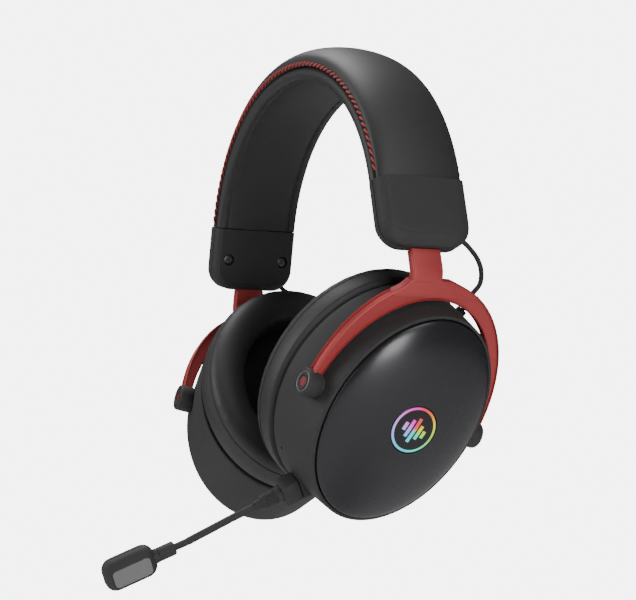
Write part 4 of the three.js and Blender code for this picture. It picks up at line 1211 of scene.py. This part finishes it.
@dataclass(frozen=True)
class EarCup:
    """An oval cup: housing, glossy domed plate with its lit emblem, baffle, speaker and ear cushion.

    It is drawn in the cup's frame, whose X runs outward through the middle of the plate.
    """

    side: Side
    plate_half: float = 32.6
    plate_edge: float = 11.1
    rise: float = 8.9
    cushion_half: float = 40.1
    opening: float = 24.6

    def settle(self, form: Form, name: str, slot: Slot, sharp: float, *nodes: str) -> bpy.types.Object:
        """Builds one piece on the cup. Args: form, name, slot, sharp, nodes: of the piece. Returns: it."""
        made = Piece.build(form.moved(EAR), f"{name}_{self.side.word}", slot.finish(), self.side, sharp)
        return Piece.settle(made, f"cup_{self.side.word}", slot.word, *(f"{n}_{self.side.word}" for n in nodes))

    @staticmethod
    def disc(low: float, high: float, radius: float, sides: int) -> Form:
        """Args: low, high: ends along X. radius: its. sides: steps round. Returns: a disc to join or cut."""
        return Form.turned(np.array([(low, radius), (high, radius)]), sides)

    def housing(self) -> None:
        """A thin wall with rounded edges and a floor, its pivot bosses, and what the side needs cut in it."""
        x = np.linspace(-18.7, 10.3, 40)
        outer = np.stack([x, wall_half(x)], -1)[::-1]
        start = [(7.2, 0.6, 0), (7.2, 32.9, 0.3), (10.3, 32.9, 0.35), (10.3, 34.2, 0.7)]
        corner = rounded([*start, (*outer[3], 0)], 5, False)
        lining = float(wall_half(5.4)) - 2.2
        foot = [(*outer[-4], 0), (-18.7, 39.2, 0.6), (-18.7, 37.0, 0.4), (5.4, lining, 2.0), (5.4, 0.6, 0)]
        foot = rounded(foot, 5, False)
        profile = np.concatenate([corner[:-1], outer[3:-3], foot[1:]])
        form = Form.loft(ovals(spaced(profile, 3.0, False)))
        satin = Slot.SATIN_BLACK
        name = f"cup_housing_{self.side.word}"
        made = Piece.build(form.moved(EAR), f"{name}_shell", satin.finish(), self.side, 34)
        yoke = Yoke(self.side)
        gland = wall(-6.5, 80.0)
        dome = np.array([(-1.0, 2.3), (1.2, 2.25), (1.5, 2.05), (1.6, 1.8)])
        joined = [Form.turned(dome, 32).moved(gland @ ALONG_Z)]
        joined += [self.disc(34.2, 36.4, 4.6, 40).moved(yoke.on_pivot(end)) for end in End]
        if self.side is Side.LEFT:
            seat = slab(9.8, 8.8, 1.3, [(-4.0, 0.0), (1.1, 0.0), (1.32, 0.08), (1.4, 0.3)])
            joined.append(seat.moved(wall(*MIC_PLACE)))
        Piece.carve(made, [joined[0].with_(*joined[1:])], self.side, "UNION")
        cuts = [self.disc(36.4, 43.5, 6.1, 48).moved(yoke.on_pivot(end)) for end in End]
        cuts.append(self.disc(-5.2, 3.0, 1.25, 20).moved(gland @ ALONG_Z))
        if self.side is Side.LEFT:
            cuts.append(self.disc(-9.0, 6.0, 2.0, 28).moved(wall(*MIC_PLACE) @ ALONG_Z))
            cuts.append(self.disc(-1.0, 2.0, 0.6, 20).moved(wall(-13.0, 231.0) @ ALONG_Z))
            cuts.append(slab(9.6, 4.0, 1.9, [(-6.3, 0.0), (3.0, 0.0)]).moved(wall(*PORT)))
            for angle, length in CONTROLS.values():
                cuts.append(slab(length + 0.5, 4.5, 1.5, [(-4.2, 0.0), (3.0, 0.0)]).moved(wall(-3.0, angle)))
            well = self.disc(-1.8, 1.8, 7.35, 64).moved(frame_of((0, 0, -5.5), (0, 1, 0), (0, 0, 1), (1, 0, 0)))
            cuts.append(well.moved(wall(*WHEEL)))
        Piece.carve(made, [cuts[0].with_(*cuts[1:])], self.side)
        bores = [self.disc(29.5, 36.8, 1.35, 24).moved(yoke.on_pivot(end)) for end in End]
        Piece.carve(made, [bores[0].with_(bores[1])], self.side)
        Piece.settle(made, f"cup_{self.side.word}", satin.word, name)

    def dome(self, half: Array) -> Array:
        """Args: half: out from the middle. Returns: the dome's X: steep at its edge and nearly flat inside."""
        return self.plate_edge + self.rise * np.maximum(1 - (half / self.plate_half) ** 2, 0) ** 0.8

    def plate(self) -> None:
        """Rings that blend from the round emblem hole to the oval edge, all on the dome, then back inside."""
        ratio = 1 + float(stretch(8.5)) / self.plate_half
        angle = np.linspace(0, 2 * np.pi, 192, endpoint=False)
        share = np.sin(np.linspace(0, np.pi / 2, 44))[:, None]

        def rings(hole: float, rim: float, lift: float) -> Array:
            """Args: hole, rim: radii at both ends. lift: below the dome. Returns: the dome's rings."""
            y = ((1 - share) * hole + share * rim) * np.cos(angle)
            z = ((1 - share) * hole + share * rim * ratio) * np.sin(angle)
            half = np.hypot(y, z / ratio) * self.plate_half / rim
            return np.stack([self.dome(np.minimum(half, self.plate_half)) - lift, y, z], -1)

        outer, inner = rings(10.05, self.plate_half, 0.0), rings(10.05, self.plate_half - 1.8, 1.8)

        def skirt(x: float, half: float) -> Array:
            """Args: x, half: of the ring. Returns: it."""
            return np.stack([x + 0 * angle, half * np.cos(angle), half * ratio * np.sin(angle)], -1)[None]

        rows = [
            inner[::-1], outer[:1] - (0.25, 0, 0), outer, skirt(9.4, self.plate_half), skirt(8.7, self.plate_half),
            skirt(8.5, self.plate_half - 0.2), skirt(8.5, self.plate_half - 1.8), skirt(9.2, self.plate_half - 1.8),
        ]
        form = Form.loft(np.concatenate(rows), True)
        self.settle(form, "cover_plate_domed", Slot.GLOSS_BLACK, 40, "cover_plate")

    def emblem(self) -> None:
        """The lit window: a shallow lens that carries on the dome, on the stem of its light guide."""
        radius = np.linspace(9.75, 0.05, 16)
        lens = np.stack([self.dome(radius) + 0.02, radius], -1)
        stem = [(9.2, 0.05), (9.2, 5.0), (16.9, 5.0), (16.9, 9.9), (19.2, 9.95), (19.3, 9.9)]
        profile = np.concatenate([stem, lens])
        signs = np.array([self.side.value, 1, 1])
        look = LitEmblem(EAR[:3, 3] * signs, EAR[:3, 1] * signs, EAR[:3, 2] * signs)
        word = self.side.word
        made = Piece.build(
            Form.turned(profile, 96).moved(EAR), f"emblem_window_{word}", look.material(f"light_guide_{word}"),
            self.side, 50,
        )
        Piece.settle(made, f"cup_{word}", "light_guide", f"emblem_light_{word}")

    def cushion(self) -> None:
        """The ear cushion: a straight outer side, a sewn edge, a crown over the foam, and a rolled opening.

        The crown's x is the seam's less the rise times the sine of the turn to the power 0.8, and fine
        waves round the oval pucker it beside the seams, fading within a few millimetres.
        """
        base, seam, rise = -21.7, -31.2, 6.1
        middle, reach = (self.cushion_half + self.opening) / 2, (self.cushion_half - self.opening) / 2
        side = np.linspace(0, 1, 16)
        bulge = self.cushion_half - 0.05 + 0.45 * np.sin(np.pi * side)
        outer = np.stack([base - 0.15 + (seam - base + 0.75) * side, bulge], -1)
        outer[0, 1] -= 0.35
        notch = np.array([
            (seam + 0.3, self.cushion_half - 0.15), (seam + 0.12, self.cushion_half - 0.5),
            (seam - 0.1, self.cushion_half - 0.42), (seam - 0.3, self.cushion_half - 0.1),
        ])
        turn = np.linspace(0.05, np.pi - 0.02, 44)
        crown = np.stack([seam - 0.25 - rise * np.sin(turn) ** 0.8, middle + (reach - 0.1) * np.cos(turn)], -1)
        inner = np.array([
            (seam + 1.2, self.opening - 0.15), (seam + 3.0, self.opening + 0.35),
            (seam + 6.0, self.opening + 0.9),
            (base - 0.8, self.opening + 0.7), (base - 0.05, self.opening + 1.0),
        ])
        profile = np.concatenate([outer, notch, crown, inner])
        rings = ovals(profile, 360)
        angle = np.linspace(0, 2 * np.pi, 360, endpoint=False)
        chance = np.random.default_rng(7)
        wave = sum(
            np.cos(k * angle + phase) / 4 for k, phase in zip((23, 31, 41, 53, 67), chance.uniform(0, 6.28, 5))
        )
        near = np.zeros(len(profile))
        first, last = len(outer) + len(notch), len(outer) + len(notch) + len(crown)
        outside, inside = (turn - 0.35) ** 2 / 0.05, (np.pi - turn - 0.25) ** 2 / 0.12
        near[first:last] = 0.20 * np.exp(-outside) + 0.40 * np.exp(-inside)
        near[: len(outer)] = 0.10 * np.exp(-((side - 0.93) ** 2) / 0.01)
        slow = np.cos(3 * angle + 0.8) + np.cos(5 * angle + 2.1)
        full = np.zeros(len(profile))
        full[first:last] = 0.14 * np.sin(turn) ** 2
        rings[..., 0] += near[:, None] * wave + full[:, None] * slow
        made = self.settle(Form.loft(rings, True), "ear_cushion_padded", Slot.LEATHERETTE, 75, "ear_cushion")
        turn = np.linspace(0, 2 * np.pi, 12, endpoint=False)
        middle = np.array([seam + 0.02, self.cushion_half - 0.12])
        cord = middle + 0.38 * np.stack([np.cos(turn), np.sin(turn)], -1)
        self.settle(Form.loft(ovals(cord, 240), True), "cushion_piping", Slot.LEATHERETTE, 80)

    def speaker(self) -> None:
        """The baffle ring, the cloth over the speaker, and finishes for the driver behind it."""
        profile = np.array([
            (-19.0, 20.5), (-19.0, 37.8), (-19.2, 38.0), (-21.2, 38.0), (-21.4, 37.8),
            (-21.4, 27.4), (-21.3, 27.3),
            (-20.5, 27.3), (-20.5, 20.5),
        ])
        self.settle(Form.loft(ovals(profile), True), "baffle_ring", Slot.SATIN_BLACK, 40, "baffle")
        half = np.linspace(0.3, 26.9, 26)
        sag = 0.22 * np.cos(np.pi / 2 * half / 26.9)
        front = np.stack([-21.05 - sag, half], -1)
        back = np.stack([-20.75 - sag, half], -1)
        cloth = self.settle(
            Form.loft(ovals(np.concatenate([front, back[::-1]]))), "speaker_cloth_stretched",
            Slot.SPEAKER_CLOTH, 60,
            "speaker_cloth",
        )
        word = self.side.word
        keep(Slot.BRIGHT_STEEL, f"driver_basket_{word}")
        keep(Slot.DARK_STEEL, f"driver_magnet_{word}")
        keep(Slot.CONE_FILM, f"driver_cone_{word}")
        keep(Slot.CIRCUIT_BOARD, f"led_board_{word}")

    def build(self) -> None:
        """Makes every piece of the cup."""
        self.housing()
        self.plate()
        self.emblem()
        self.cushion()
        self.speaker()


class Controls:
    """The left cup's keys, wheel and sockets, and the circuit board and battery inside."""

    def keys(self) -> None:
        """Two long soft-cornered keys with a dished top, each on its own body."""
        for word, (angle, length) in CONTROLS.items():
            layers = [
                (-4.0, -0.8), (-3.2, -0.8), (-3.2, 0.0), (0.45, 0.0), (0.7, 0.1), (0.8, 0.35),
                (0.78, 0.6), (0.66, 1.0),
                (0.62, 1.5),
            ]
            made = Piece.build(
                slab(length, 4.0, 1.3, layers).moved(wall(-3.0, angle)), f"{word}_key", Slot.RUBBER.finish(), sharp=45
            )
            Piece.settle(made, f"{word}_key", Slot.RUBBER.word, f"{word}_button")

    def wheel(self) -> None:
        """The volume wheel: its rim's radius swells and dips with the cosine of 24 times the angle."""
        angle = np.linspace(0, 2 * np.pi, 288, endpoint=False)
        rows = np.array([
            (-1.5, 0.6, 0.0), (-1.5, 6.0, 0.0), (-1.4, 6.5, 0.3), (-1.15, 6.78, 1.0),
            (1.15, 6.78, 1.0), (1.4, 6.5, 0.3),
            (1.5, 6.0, 0.0), (1.5, 0.6, 0.0),
        ])
        radius = rows[:, 1:2] + 0.2 * rows[:, 2:] * np.tanh(3 * np.cos(24 * angle)) / math.tanh(3)
        rings = np.stack([rows[:, :1] + 0 * angle, radius * np.cos(angle), radius * np.sin(angle)], -1)
        place = wall(*WHEEL) @ frame_of((0, 0, -5.5), (0, 1, 0), (0, 0, 1), (1, 0, 0))
        form = Form.loft(rings).moved(place)
        made = Piece.build(form, "volume_wheel_knurled", Slot.RUBBER.finish(), sharp=50)
        Piece.settle(made, "volume_roller", Slot.RUBBER.word, "volume_wheel")

    def port(self) -> None:
        """The charging port: a metal mouth with round ends and a tongue inside."""
        layers = [(-6.0, 0.0), (-0.45, 0.0), (-0.3, 0.12), (-0.3, 0.5), (-0.4, 0.6), (-5.0, 0.6), (-5.0, 1.2)]
        mouth = slab(9.0, 3.4, 1.6, layers)
        tongue = slab(6.2, 0.7, 0.2, [(-5.2, 0.0), (-1.2, 0.0), (-1.0, 0.1)])
        made = Piece.build(
            mouth.with_(tongue).moved(wall(*PORT)), "charging_port_mouth", Slot.BRIGHT_STEEL.finish(), sharp=40
        )
        Piece.settle(made, "cup_left", Slot.BRIGHT_STEEL.word, "charging_port")

    def build(self) -> None:
        """Makes them and finishes what stays inside the cups."""
        self.keys()
        self.wheel()
        self.port()
        keep(Slot.CIRCUIT_BOARD, "main_board")
        keep(Slot.SATIN_BLACK, "mic_socket")
        keep(Slot.BATTERY_WRAP, "battery_pack")


@dataclass(frozen=True)
class Microphone:
    """The plug-in boom: a keyed block, a ribbed collar, a bending rod and a flat head with a grey screen.

    Each length is drawn along Z from its own bend.
    """

    first_bend: float = 31.1
    upper: float = 19.0
    turns: tuple[float, float] = (math.radians(1.5), math.radians(-4.4))
    head_foot: float = 14.0

    def build(self) -> None:
        """Makes the plug, the boom and the head, each on its body."""
        plug = wall(*MIC_PLACE)
        boom = plug @ turned_about(1, self.turns[0], (0, 0, self.first_bend))
        head = boom @ turned_about(1, self.turns[1], (0, 0, self.upper))
        satin = Slot.SATIN_BLACK
        block = slab(9.6, 8.6, 1.1, [
            (1.7, 0.35), (1.9, 0.08), (2.2, 0.0), (8.0, 0.0), (8.45, 0.12), (8.75, 0.45),
            (8.85, 0.9), (8.85, 1.4),
        ])
        collar = [(8.0, 0.05), (8.0, 3.2), (8.9, 3.4), (11.0, 3.4), (11.4, 3.2), (11.5, 3.0)]
        for start in np.arange(11.5, 17.2, 0.95):
            collar += [(start + 0.05, 2.85), (start + 0.2, 3.1), (start + 0.75, 3.1), (start + 0.9, 2.85)]
        collar += [
            (17.6, 2.9), (17.7, 2.3), (18.0, 2.1), (18.7, 2.1), (18.8, 1.8), (19.1, 1.8),
            (19.2, 2.1), (20.0, 2.1),
            (20.1, 1.8), (20.4, 1.8), (20.5, 2.0), (21.0, 2.0), (21.1, 1.5),
            (30.9, 1.5), (31.0, 1.4), (31.0, 0.05),
        ]
        jack = [(-7.3, 0.05), (-7.0, 0.9), (-6.2, 1.4), (-5.4, 1.2), (-5.0, 1.75), (2.5, 1.75), (2.5, 0.05)]
        jack = np.array(jack)
        turned = [Form.turned(np.array(collar), 48), Form.turned(jack, 32)]
        form = block.with_(*(shape.moved(ALONG_Z) for shape in turned))
        made = Piece.build(form.moved(plug), "mic_plug_ribbed", satin.finish(), sharp=40)
        Piece.settle(made, "mic_base", Slot.SATIN_BLACK.word, "mic_plug")

        turn = np.linspace(0.04, np.pi / 2, 10)
        ball = np.stack([-1.4 * np.cos(turn), 1.4 * np.sin(turn)], -1)
        rod = np.concatenate([ball, [(0.4, 1.5), (18.8, 1.5), (18.9, 1.4), (18.9, 0.05)]])
        form = Form.turned(rod, 40).moved(boom @ ALONG_Z)
        made = Piece.build(form, "mic_boom_rod", satin.finish(), sharp=40)
        Piece.settle(made, "mic_middle", Slot.SATIN_BLACK.word, "mic_boom")

        shaft = np.concatenate([ball, [
            (5.5, 1.4), (5.6, 2.2), (5.8, 2.6), (6.2, 2.8), (12.4, 2.8),
            (12.5, 2.65), (12.7, 2.65), (12.8, 2.85), (15.0, 3.0), (15.0, 0.05),
        ]])
        flat = frame_of((0, 0, self.head_foot + 10.7), (1, 0, 0), (0, 0, -1), (0, 1, 0))
        shell = slab(13.4, 21.4, 4.6, [
            (-4.5, 3.2), (-4.35, 2.5), (-3.9, 1.7), (-3.1, 0.9), (-2.1, 0.3), (-1.2, 0.05),
            (-0.9, 0.0), (-0.75, 0.12),
            (-0.6, 0.12), (-0.45, 0.0), (0.9, 0.0), (1.6, 0.15), (2.3, 0.55), (3.6, 1.55),
            (4.25, 2.1), (4.45, 2.3),
            (4.5, 2.5), (4.4, 2.62), (3.4, 2.62),
        ], 10)
        form = shell.moved(flat).with_(Form.turned(shaft, 40).moved(ALONG_Z))
        made = Piece.build(form.moved(head), "mic_head_shell", satin.finish(), sharp=50)
        Piece.settle(made, "mic_end", Slot.SATIN_BLACK.word, "mic_head")
        panel = slab(13.4, 21.4, 4.6, [(3.42, 2.75), (4.15, 2.75), (4.35, 2.85), (4.45, 3.1), (4.47, 3.6)], 10)
        made = Piece.build(panel.moved(head @ flat), "mic_screen_panel", Slot.MIC_SCREEN.finish(), sharp=40)
        Piece.settle(made, "mic_end", Slot.MIC_SCREEN.word, "mic_screen")


@dataclass(frozen=True)
class Leads:
    """A thin lead in two lengths: out of the cap's rear corner to the yoke, and on down into the cup."""

    side: Side
    radius: float = 1.0
    loop: tuple = ((79.6, 23.2, -80.3), (77.9, 26.0, -84.1), (76.2, 27.1, -88.1), (74.6, 26.8, -90.9))
    middle: tuple = (72.9, 24.6, -93.9)
    onward: tuple = (70.6, 24.7, -95.6)

    def build(self) -> None:
        """Makes both lengths, each running between the places of the bodies at its ends."""
        word = self.side.word
        corner = 9.0 * (1 - math.sqrt(0.5))
        out = np.array([0, math.sqrt(0.5), -math.sqrt(0.5)])
        cap = np.array([7.5, 19.3 - corner, -27.6 + corner])
        start = Form(np.stack([cap - 1.0 * out, cap + 3 * out]), np.zeros((0, 4), int), []).moved(LEG).points
        pair = Form(np.array([(0, 0, 3.6), (0, 0, 1.0)]), np.zeros((0, 4), int), [])
        end = pair.moved(wall(-6.5, 80.0)).points
        middle = np.array(self.middle)
        gap = np.array(self.onward) - middle
        begin = middle + gap / np.linalg.norm(gap) * 0.05
        upper = tube(np.concatenate([start, self.loop, middle[None]]), self.radius)
        lower = tube(np.concatenate([begin[None], [self.onward], end]), self.radius * 0.995)
        signs = np.array([self.side.value, 1, 1]) * MM
        for name, form, pair, ends in (
            ("upper", upper, ("headband", f"yoke_{word}"), (start[1], middle)),
            ("lower", lower, (f"yoke_{word}", f"cup_{word}"), (begin, end[0])),
        ):
            made = Piece.build(form, f"lead_{name}_{word}_sleeved", Slot.RUBBER.finish(), self.side, 80)
            tuple(ends[0] * signs)
            tuple(ends[1] * signs)
            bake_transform(made)
            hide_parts(f"lead_{name}_{word}")
            log.info("%-28s %6d faces between %s and %s", made.name, len(made.data.polygons), *pair)


# ---------------------------------------------------------------- camera, light and floor


@dataclass(frozen=True)
class Softbox:
    """A rectangular light aimed at a point, in metres."""

    name: str
    place: tuple[float, float, float]
    aim: tuple[float, float, float]
    size: tuple[float, float]
    power: float

    def hang(self) -> None:
        """Makes the light."""
        lamp = bpy.data.lights.new(self.name, "AREA")
        lamp.shape, lamp.size, lamp.size_y, lamp.energy = "RECTANGLE", *self.size, self.power
        holder = bpy.data.objects.new(self.name, lamp)
        bpy.context.collection.objects.link(holder)
        away = Vector(self.place) - Vector(self.aim)
        turn = away.to_track_quat("Z", "Y").to_matrix().to_4x4()
        holder.matrix_world = Matrix.Translation(self.place) @ turn


@dataclass(frozen=True)
class Studio:
    """A pale floor under the headset, soft light from all round, and the camera."""

    target: tuple[float, float, float] = (-0.0003, 0.0, -0.0791)
    azimuth: float = 62.3
    elevation: float = -6.49
    roll: float = -0.56
    distance: float = 0.8508
    lens: float = 114.92
    shift: tuple[float, float] = (-0.0171, -0.0413)
    floor_z: float = -0.34
    backdrop: float = 6.0
    surround: float = 0.05
    softboxes: tuple[Softbox, ...] = (
        Softbox("overhead", (-0.36, 0.0, 0.92), (0.05, 0.0, -0.02), (0.42, 0.75), 9.0),
        Softbox("side", (1.15, -0.12, -0.12), (0.08, -0.01, -0.12), (0.34, 0.34), 4.6),
        Softbox("right_upper", (0.90, 0.05, 0.60), (0.05, 0.0, -0.08), (0.5, 0.9), 3.6),
        Softbox("left_front", (-0.45, -1.15, 0.40), (0.0, -0.03, -0.13), (0.7, 0.7), 8.5),
        Softbox("low_right", (0.75, 0.75, -0.85), (0.05, 0.0, -0.14), (0.5, 0.5), 2.0),
    )

    def aim_camera(self) -> None:
        """The camera looks at the target from its azimuth and elevation, rolled a little."""
        around, up = math.radians(self.azimuth), math.radians(self.elevation)
        back = np.array([math.sin(around) * math.cos(up), -math.cos(around) * math.cos(up), math.sin(up)])
        across = np.array([math.cos(around), math.sin(around), 0.0])
        above = np.cross(back, across)
        roll = math.radians(self.roll)
        right = across * math.cos(roll) + above * math.sin(roll)
        matrix = frame_of(np.array(self.target) + back * self.distance, right, np.cross(back, right), back)
        data = bpy.data.cameras.new("camera")
        data.lens, data.sensor_width = self.lens, 36.0
        data.shift_x, data.shift_y = self.shift
        data.clip_start, data.clip_end = 0.05, 20.0
        camera = bpy.data.objects.new("camera", data)
        bpy.context.collection.objects.link(camera)
        camera.matrix_world = Matrix(matrix.tolist())
        bpy.context.scene.camera = camera

    def lay_floor(self) -> None:
        """A pale round floor with a faint mottle."""
        shade = Shade("floor")
        mottle = shade.noise(300.0, 2.0)
        tone = shade.blend(mottle, (0.86, 0.86, 0.86), (0.90, 0.90, 0.90))
        finish = shade.surface(Base_Color=tone, Roughness=0.75 + 0.05 * (mottle - 0.5))
        angle = np.linspace(0, 2 * np.pi, 96, endpoint=False)
        radii = np.array([0.001, 1150.0])[:, None]
        level = np.full((2, 96), self.floor_z / MM)
        disc = np.stack([radii * np.cos(angle), radii * np.sin(angle), level], -1)
        form = Form(disc.reshape(-1, 3), quads(2, 96), [])
        floor = Piece.build(form, "floor", finish)

    def light(self) -> None:
        """A white surround that the camera sees, dimmer in what the pieces reflect, and the softboxes."""
        world = bpy.data.worlds.new("surround")
        bpy.context.scene.world = world
        world.use_nodes = True
        tree = world.node_tree
        tree.nodes.clear()
        path = tree.nodes.new("ShaderNodeLightPath")
        seen, around = tree.nodes.new("ShaderNodeBackground"), tree.nodes.new("ShaderNodeBackground")
        seen.inputs[0].default_value = (1.0, 1.0, 1.0, 1.0)
        seen.inputs[1].default_value = self.backdrop
        around.inputs[0].default_value = (1.0, 1.0, 1.0, 1.0)
        around.inputs[1].default_value = self.surround
        mix, out = tree.nodes.new("ShaderNodeMixShader"), tree.nodes.new("ShaderNodeOutputWorld")
        tree.links.new(path.outputs["Is Camera Ray"], mix.inputs[0])
        tree.links.new(around.outputs[0], mix.inputs[1])
        tree.links.new(seen.outputs[0], mix.inputs[2])
        tree.links.new(mix.outputs[0], out.inputs[0])
        for softbox in self.softboxes:
            softbox.hang()

    def build(self) -> None:
        """Makes all of it."""
        self.aim_camera()
        self.lay_floor()
        self.light()


def main() -> None:
    """Builds the studio and every sub-assembly in order."""
    logging.basicConfig(level=logging.INFO, format="%(message)s")
    Studio().build()
    Headband().build()
    for side in Side:
        EndCap(side).build()
        Yoke(side).build()
        EarCup(side).build()
        Leads(side).build()
    Controls().build()
    Microphone().build()


if __name__ == "__main__":
    main()
